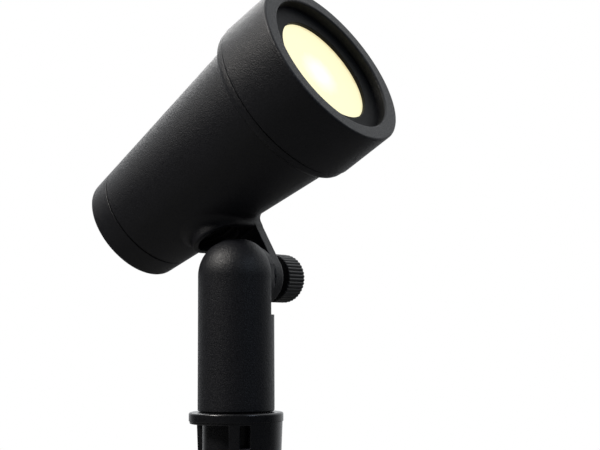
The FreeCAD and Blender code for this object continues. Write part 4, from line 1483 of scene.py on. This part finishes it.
@dataclass
class Spike:
    """The moulded spike. Sizes in millimetres, heights from the flange's underside.

    Args:
        flange_radius: the flange.
        flange_thickness: its thickness.
        flange_round: round of its upper edge.
        flange_ease: round of its lower edge.
        sunk: how far wall and socket run up into the flange.
        skirt_radius: the skirt where it leaves the flange.
        taper_deg: how far the skirt's side leans in.
        skirt_length: height of the skirt.
        skirt_wall: thickness of its wall.
        skirt_floor: thickness of its floor.
        floor_inset: how far the floor's edge lies inside the wall.
        floor_lift: how far the floor's underside lies above the wall's end.
        socket_radius: outside of the thread's socket.
        socket_bore: its bore.
        socket_depth: its depth.
        window_drop: from the flange to the windows.
        windows: (from, to) degrees from +X and height of each window in the skirt.
        length: the flange's underside to the tip.
        fin_half: half the thickness of the fins.
        fin_inset: how far inside the skirt they start.
        fin_foot: their reach where the point starts.
        fin_rows: rows down the fins.
        point_length: the point.
        point_half: half its width at the tip.
        core_radius: the fins' core at its top.
        core_root: where the core starts, as a share of the floor's thickness.
        edge_ease: round of the moulded edges.
        segments: steps round the turned parts.
        cell_deg: turn of the skirt's cells in degrees.
        cell_height: their height.
    """

    flange_radius: float = 18.05
    flange_thickness: float = 3.4
    flange_round: float = 0.8
    flange_ease: float = 0.25
    sunk: float = 1.0
    skirt_radius: float = 17.75
    taper_deg: float = 2.4
    skirt_length: float = 42.0
    skirt_wall: float = 2.9
    skirt_floor: float = 3.0
    floor_inset: float = 1.0
    floor_lift: float = 0.02
    socket_radius: float = 12.8
    socket_bore: float = 10.45
    socket_depth: float = 14.0
    window_drop: float = 0.9
    windows: tuple[tuple[float, float, float], ...] = ((188.3, 299.2, 24.0), (312.8, 325.6, 8.4))
    length: float = 205.0
    fin_half: float = 1.6
    fin_inset: float = 1.2
    fin_foot: float = 4.2
    fin_rows: int = 12
    point_length: float = 14.0
    point_half: float = 0.9
    core_radius: float = 3.0
    core_root: float = 0.7
    edge_ease: float = 0.3
    segments: int = 160
    cell_deg: float = 1.6
    cell_height: float = 2.0

    def axes(self) -> Axes:
        """The stem's axis, upwards, with turns from +X towards +Y."""
        return Axes(vec(0, 0, 0), vec(0, 0, 1), vec(1, 0, 0), vec(0, 1, 0))

    def outside(self, z: Array | float) -> Array | float:
        """Outer radius of the skirt at a height."""
        return self.skirt_radius + z * math.tan(math.radians(self.taper_deg))

    def skirt(self) -> Surface:
        """The skirt's wall, with a cell grid that has lines along each window's edges.

        Returns:
            The surface.
        """
        stops = sorted(edge for window in self.windows for edge in window[:2])
        turns = divided([*stops, stops[0] + 360.0], self.cell_deg)
        drops = sorted((-self.window_drop - window[2] for window in self.windows), reverse=True)
        levels = [self.sunk, -self.window_drop, *drops, -self.skirt_length]
        heights = np.append(divided(levels, self.cell_height), levels[-1])
        middle_turn = (turns + np.append(turns[1:], turns[0] + 360.0)) / 2
        middle_z = (heights[:-1] + heights[1:])[:, None] / 2
        solid = np.ones((len(heights) - 1, len(turns)), bool)
        for start, end, height in self.windows:
            across = ((middle_turn - start) % 360.0) < (end - start)
            upright = (middle_z < -self.window_drop) & (middle_z > -self.window_drop - height)
            solid &= ~(across & upright)
        outer = self.outside(heights)
        return pierced_wall(np.radians(turns), heights * MM, outer * MM,
                            (outer - self.skirt_wall) * MM, solid, self.axes())

    def turned_parts(self) -> list[Surface]:
        """Flange, thread socket, skirt's floor and the fins' core, each a turned profile.

        Returns:
            The four surfaces.
        """
        edge = self.outside(-self.skirt_length) - self.floor_inset
        floor, roof = self.floor_lift - self.skirt_length, self.skirt_floor - self.skirt_length
        root = self.core_root * self.skirt_floor - self.skirt_length
        tip = -self.length + self.point_length / 2
        thick, deep = self.flange_thickness, -self.socket_depth
        profiles = [
            [(0.0, self.socket_bore), (0.0, self.flange_radius, self.flange_ease),
             (thick, self.flange_radius, self.flange_round), (thick, self.socket_bore)],
            [(deep, self.socket_bore), (deep, self.socket_radius),
             (self.sunk, self.socket_radius), (self.sunk, self.socket_bore)],
            [(floor, 0.0), (floor, edge), (roof, edge), (roof, 0.0)],
            [(tip, 0.0), (tip, self.point_half), (root, self.core_radius), (root, 0.0)]]
        return [turned(rounded(profile), self.axes(), self.segments) for profile in profiles]

    def fins(self) -> Surface:
        """Crossed fins: a cross outline carried down the spike as its arms get shorter.

        Returns:
            The surface.
        """
        top = -self.skirt_length + self.skirt_floor / 2
        top_half = self.outside(-self.skirt_length) - self.fin_inset
        foot = -self.length + self.point_length
        z = np.concatenate([[top], np.linspace(top, foot, self.fin_rows), [-self.length] * 2])
        arm = np.interp(-z, [-top, -foot, self.length], [top_half, self.fin_foot, self.point_half])
        thick = np.minimum(self.fin_half, arm)
        arm[[0, -1]] = 0.0
        thick[[0, -1]] = 0.0
        tips = [(arm, -thick), (arm, thick), (thick, thick)]
        columns = [np.stack([a * cos - b * sin, a * sin + b * cos, z], axis=-1)
                   for cos, sin in ((1, 0), (0, 1), (-1, 0), (0, -1)) for a, b in tips]
        return grid(np.stack(columns, axis=1) * MM, wrap_rows=False)

    def build(self, dresser: Dresser) -> None:
        """Makes and dresses the spike.

        Args:
            dresser: what dresses it.
        """
        surface = joined(self.skirt(), *self.turned_parts(), self.fins())
        spike = make_piece("spike_moulding", surface, smooth_deg=35.0, bevel_mm=self.edge_ease)
        dresser.dress(spike, "spike", FinishKind.MOULDED_PLASTIC, "spike_stake")


@dataclass
class Camera:
    """The photograph's camera, found by fitting its outlines; lengths in millimetres.

    Args:
        distance: from the stem's axis, in plan.
        drop: height above the tilt pivot (negative is below it).
        pivot_z: height of the tilt pivot.
        azimuth_deg: how far the view is turned from looking along +Y.
        yaw_deg: further turn of the view to its right.
        pitch_deg: upward tilt of the view.
        roll_deg: turn of the picture.
        focal_px: focal length in pixels of the photograph.
        sensor_mm: width of the sensor.
        frame_px: width of the photograph in pixels.
        clip: nearest and farthest distance seen, in metres.
    """

    distance: float = 528.9
    drop: float = -23.4
    pivot_z: float = 55.2
    azimuth_deg: float = 38.28
    yaw_deg: float = 2.67
    pitch_deg: float = 4.66
    roll_deg: float = -0.21
    focal_px: float = 1373.6
    sensor_mm: float = 36.0
    frame_px: float = 600.0
    clip: tuple[float, float] = (0.01, 50.0)

    def build(self) -> None:
        """Makes the camera and sets it as the scene's."""
        azimuth = math.radians(self.azimuth_deg)
        place = Vector((math.sin(azimuth) * self.distance, -math.cos(azimuth) * self.distance,
                        self.pivot_z + self.drop)) * MM
        heading = azimuth - math.radians(self.yaw_deg)
        pitch = math.radians(self.pitch_deg)
        forward = Vector((-math.sin(heading) * math.cos(pitch), math.cos(heading) * math.cos(pitch),
                          math.sin(pitch)))
        data = bpy.data.cameras.new("camera")
        data.sensor_width = self.sensor_mm
        data.lens = self.focal_px / self.frame_px * self.sensor_mm
        data.clip_start, data.clip_end = self.clip
        camera = bpy.data.objects.new("camera", data)
        turn = forward.to_track_quat("-Z", "Y").to_matrix().to_4x4()
        roll = Matrix.Rotation(math.radians(self.roll_deg), 4, "Z")
        camera.matrix_world = Matrix.Translation(place) @ turn @ roll
        bpy.context.scene.collection.objects.link(camera)
        bpy.context.scene.camera = camera


@dataclass(frozen=True)
class Lamp:
    """A soft rectangular lamp aimed at the head.

    Args:
        name: the lamp's name.
        place: where it hangs, in metres.
        size: its width and height, in metres.
        power: watts.
        colour: its tint.
    """

    name: str
    place: tuple[float, float, float]
    size: tuple[float, float]
    power: float
    colour: tuple[float, float, float]

    def build(self, aim: Vector) -> None:
        """Makes the lamp.

        Args:
            aim: the point that it is turned to, in metres.
        """
        data = bpy.data.lights.new(self.name, "AREA")
        data.shape = "RECTANGLE"
        data.size, data.size_y = self.size
        data.energy = self.power
        data.color = self.colour
        lamp = bpy.data.objects.new(self.name, data)
        stand = Vector(self.place)
        turn = (aim - stand).to_track_quat("-Z", "Y").to_matrix().to_4x4()
        lamp.matrix_world = Matrix.Translation(stand) @ turn
        bpy.context.scene.collection.objects.link(lamp)


@dataclass
class Studio:
    """Floor, world and soft lamps.

    Args:
        floor_z: height of the floor, just under the spike's tip, in metres.
        floor_half: half the floor's width, in metres.
        floor_roughness: its roughness.
        floor_seen: the floor's tone where the camera sees it.
        floor_lit: its tone in the light that it throws back.
        ambient: colour of the world's even light.
        ambient_strength: its strength.
        sheen: colour of the world in reflections.
        sheen_toward: where reflections are brightest.
        sheen_range: how near that direction the sheen starts and ends growing.
        sheen_strength: the sheen's least and greatest strength.
        aim: the point that the lamps are turned to, in metres.
        lamps: the lamps.
    """

    floor_z: float = -0.2055
    floor_half: float = 1.0
    floor_roughness: float = 0.9
    floor_seen: float = 0.86
    floor_lit: float = 0.16
    ambient: tuple[float, float, float] = (0.88, 0.93, 1.0)
    ambient_strength: float = 0.12
    sheen: tuple[float, float, float] = (0.96, 0.98, 1.0)
    sheen_toward: tuple[float, float, float] = (-0.30, 0.62, 0.72)
    sheen_range: tuple[float, float] = (0.15, 0.85)
    sheen_strength: tuple[float, float] = (0.02, 1.0)
    aim: tuple[float, float, float] = (0.0, 0.0, 0.09)
    lamps: tuple[Lamp, ...] = (
        Lamp("key", (-0.52, -0.76, 1.02), (0.30, 0.30), 15.0, (1.0, 0.96, 0.91)),
        Lamp("behind_left", (-0.95, 0.75, 0.95), (0.9, 0.7), 6.0, (1.0, 0.99, 0.98)),
        Lamp("right", (1.10, -0.12, 0.78), (0.32, 0.45), 2.4, (0.72, 0.84, 1.0)))

    def build(self) -> None:
        """Makes the floor, the world and the lamps."""
        self.floor()
        self.world()
        for lamp in self.lamps:
            lamp.build(Vector(self.aim))

    def floor(self) -> None:
        """A plain pale floor that takes the object's shadow."""
        half = self.floor_half
        corners = [(x, y, self.floor_z)
                   for x, y in ((-half, -half), (half, -half), (half, half), (-half, half))]
        mesh = bpy.data.meshes.new("floor")
        mesh.from_pydata(corners, [], [(0, 1, 2, 3)])
        floor = bpy.data.objects.new("floor", mesh)
        bpy.context.scene.collection.objects.link(floor)
        material, graph, shader = principled("floor", {"Roughness": self.floor_roughness})
        path = graph.node("LightPath")
        tone = graph.node("Mix", {"A": (*[self.floor_lit] * 3, 1.0),
                                  "B": (*[self.floor_seen] * 3, 1.0)}, data_type="RGBA")
        graph.link((path.outputs["Is Camera Ray"], tone.inputs["Factor"]),
                   (tone.outputs["Result"], shader.inputs["Base Color"]))
        mesh.materials.append(material)

    def world(self) -> None:
        """White where the camera looks, bright above and behind in reflections, dim as light."""
        world = bpy.data.worlds.new("studio")
        bpy.context.scene.world = world
        world.use_nodes = True
        graph = Graph(world.node_tree)
        graph.tree.nodes.clear()
        output = graph.node("OutputWorld")
        light = graph.node("Background", {"Color": (*self.ambient, 1.0),
                                          "Strength": self.ambient_strength})
        white = graph.node("Background", {"Color": (1.0, 1.0, 1.0, 1.0)})
        mirrored = graph.node("Background", {"Color": (*self.sheen, 1.0)})
        path = graph.node("LightPath")
        direction = graph.node("TexCoord")
        toward = graph.node("VectorMath", {1: self.sheen_toward}, operation="DOT_PRODUCT")
        glow = graph.node("MapRange", {
            "From Min": self.sheen_range[0], "From Max": self.sheen_range[1],
            "To Min": self.sheen_strength[0], "To Max": self.sheen_strength[1]},
            interpolation_type="SMOOTHSTEP")
        shiny = graph.node("Math", operation="MAXIMUM")
        first = graph.node("MixShader")
        last = graph.node("MixShader")
        graph.link(
            (direction.outputs["Generated"], toward.inputs[0]),
            (toward.outputs["Value"], glow.inputs["Value"]),
            (glow.outputs["Result"], mirrored.inputs["Strength"]),
            (path.outputs["Is Glossy Ray"], shiny.inputs[0]),
            (path.outputs["Is Transmission Ray"], shiny.inputs[1]),
            (shiny.outputs[0], first.inputs[0]), (light.outputs[0], first.inputs[1]),
            (mirrored.outputs[0], first.inputs[2]),
            (path.outputs["Is Camera Ray"], last.inputs[0]), (first.outputs[0], last.inputs[1]),
            (white.outputs[0], last.inputs[2]), (last.outputs[0], output.inputs["Surface"]))


NODE_FINISHES: dict[str, FinishKind] = {
    "spike_stake": FinishKind.MOULDED_PLASTIC,
    "stem_casting": FinishKind.POWDER_COAT,
    "thread_nipple": FinishKind.ZINC_STEEL,
    "stem_grommet": FinishKind.RUBBER,
    "head_housing": FinishKind.POWDER_COAT,
    "rear_cap": FinishKind.POWDER_COAT,
    "rear_cap_oring": FinishKind.RUBBER,
    "cowl_oring": FinishKind.RUBBER,
    "hood_grommet": FinishKind.RUBBER,
    "holder_bracket": FinishKind.ZINC_STEEL,
    "holder_screw_1": FinishKind.ZINC_STEEL,
    "holder_screw_2": FinishKind.ZINC_STEEL,
    "lamp_holder": FinishKind.CERAMIC,
    "lamp_base": FinishKind.CERAMIC,
    "lamp_pin_1": FinishKind.BRASS,
    "lamp_pin_2": FinishKind.BRASS,
    "lamp_body": FinishKind.REFLECTOR,
    "lamp_face": FinishKind.LAMP_GLASS,
    # painted glow: the lens glass emits light in place of the lamp behind it
    "lens_glass": FinishKind.PAINTED_GLOW_GLASS,
    "lens_gasket": FinishKind.RUBBER,
    "mask_ring": FinishKind.MASK,
    "cowl": FinishKind.POWDER_COAT,
    "clamp_washer": FinishKind.ZINC_STEEL,
    "thumb_knob": FinishKind.KNOB_PLASTIC,
    "thumb_screw_shank": FinishKind.ZINC_STEEL,
}


def main() -> None:
    """Builds the studio and the object's sub-assemblies, and reports each piece."""
    logging.basicConfig(level=logging.INFO, format="%(message)s", stream=sys.stdout)
    bpy.context.scene.view_settings.view_transform = "Standard"
    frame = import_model()
    Camera().build()
    Studio().build()
    place = HeadFrame()
    teeth = KnuckleTeeth()
    ring = FrontRing(place)
    dresser = Dresser(frame, finishes(ring.hot_spot()))
    for node, kind in NODE_FINISHES.items():
        dresser.coat_node(node, kind)
    for assembly in (Spike(), Stem(place, teeth), Head(place, teeth), ring, ThumbScrew(place)):
        assembly.build(dresser)


if __name__ == "__main__":
    main()
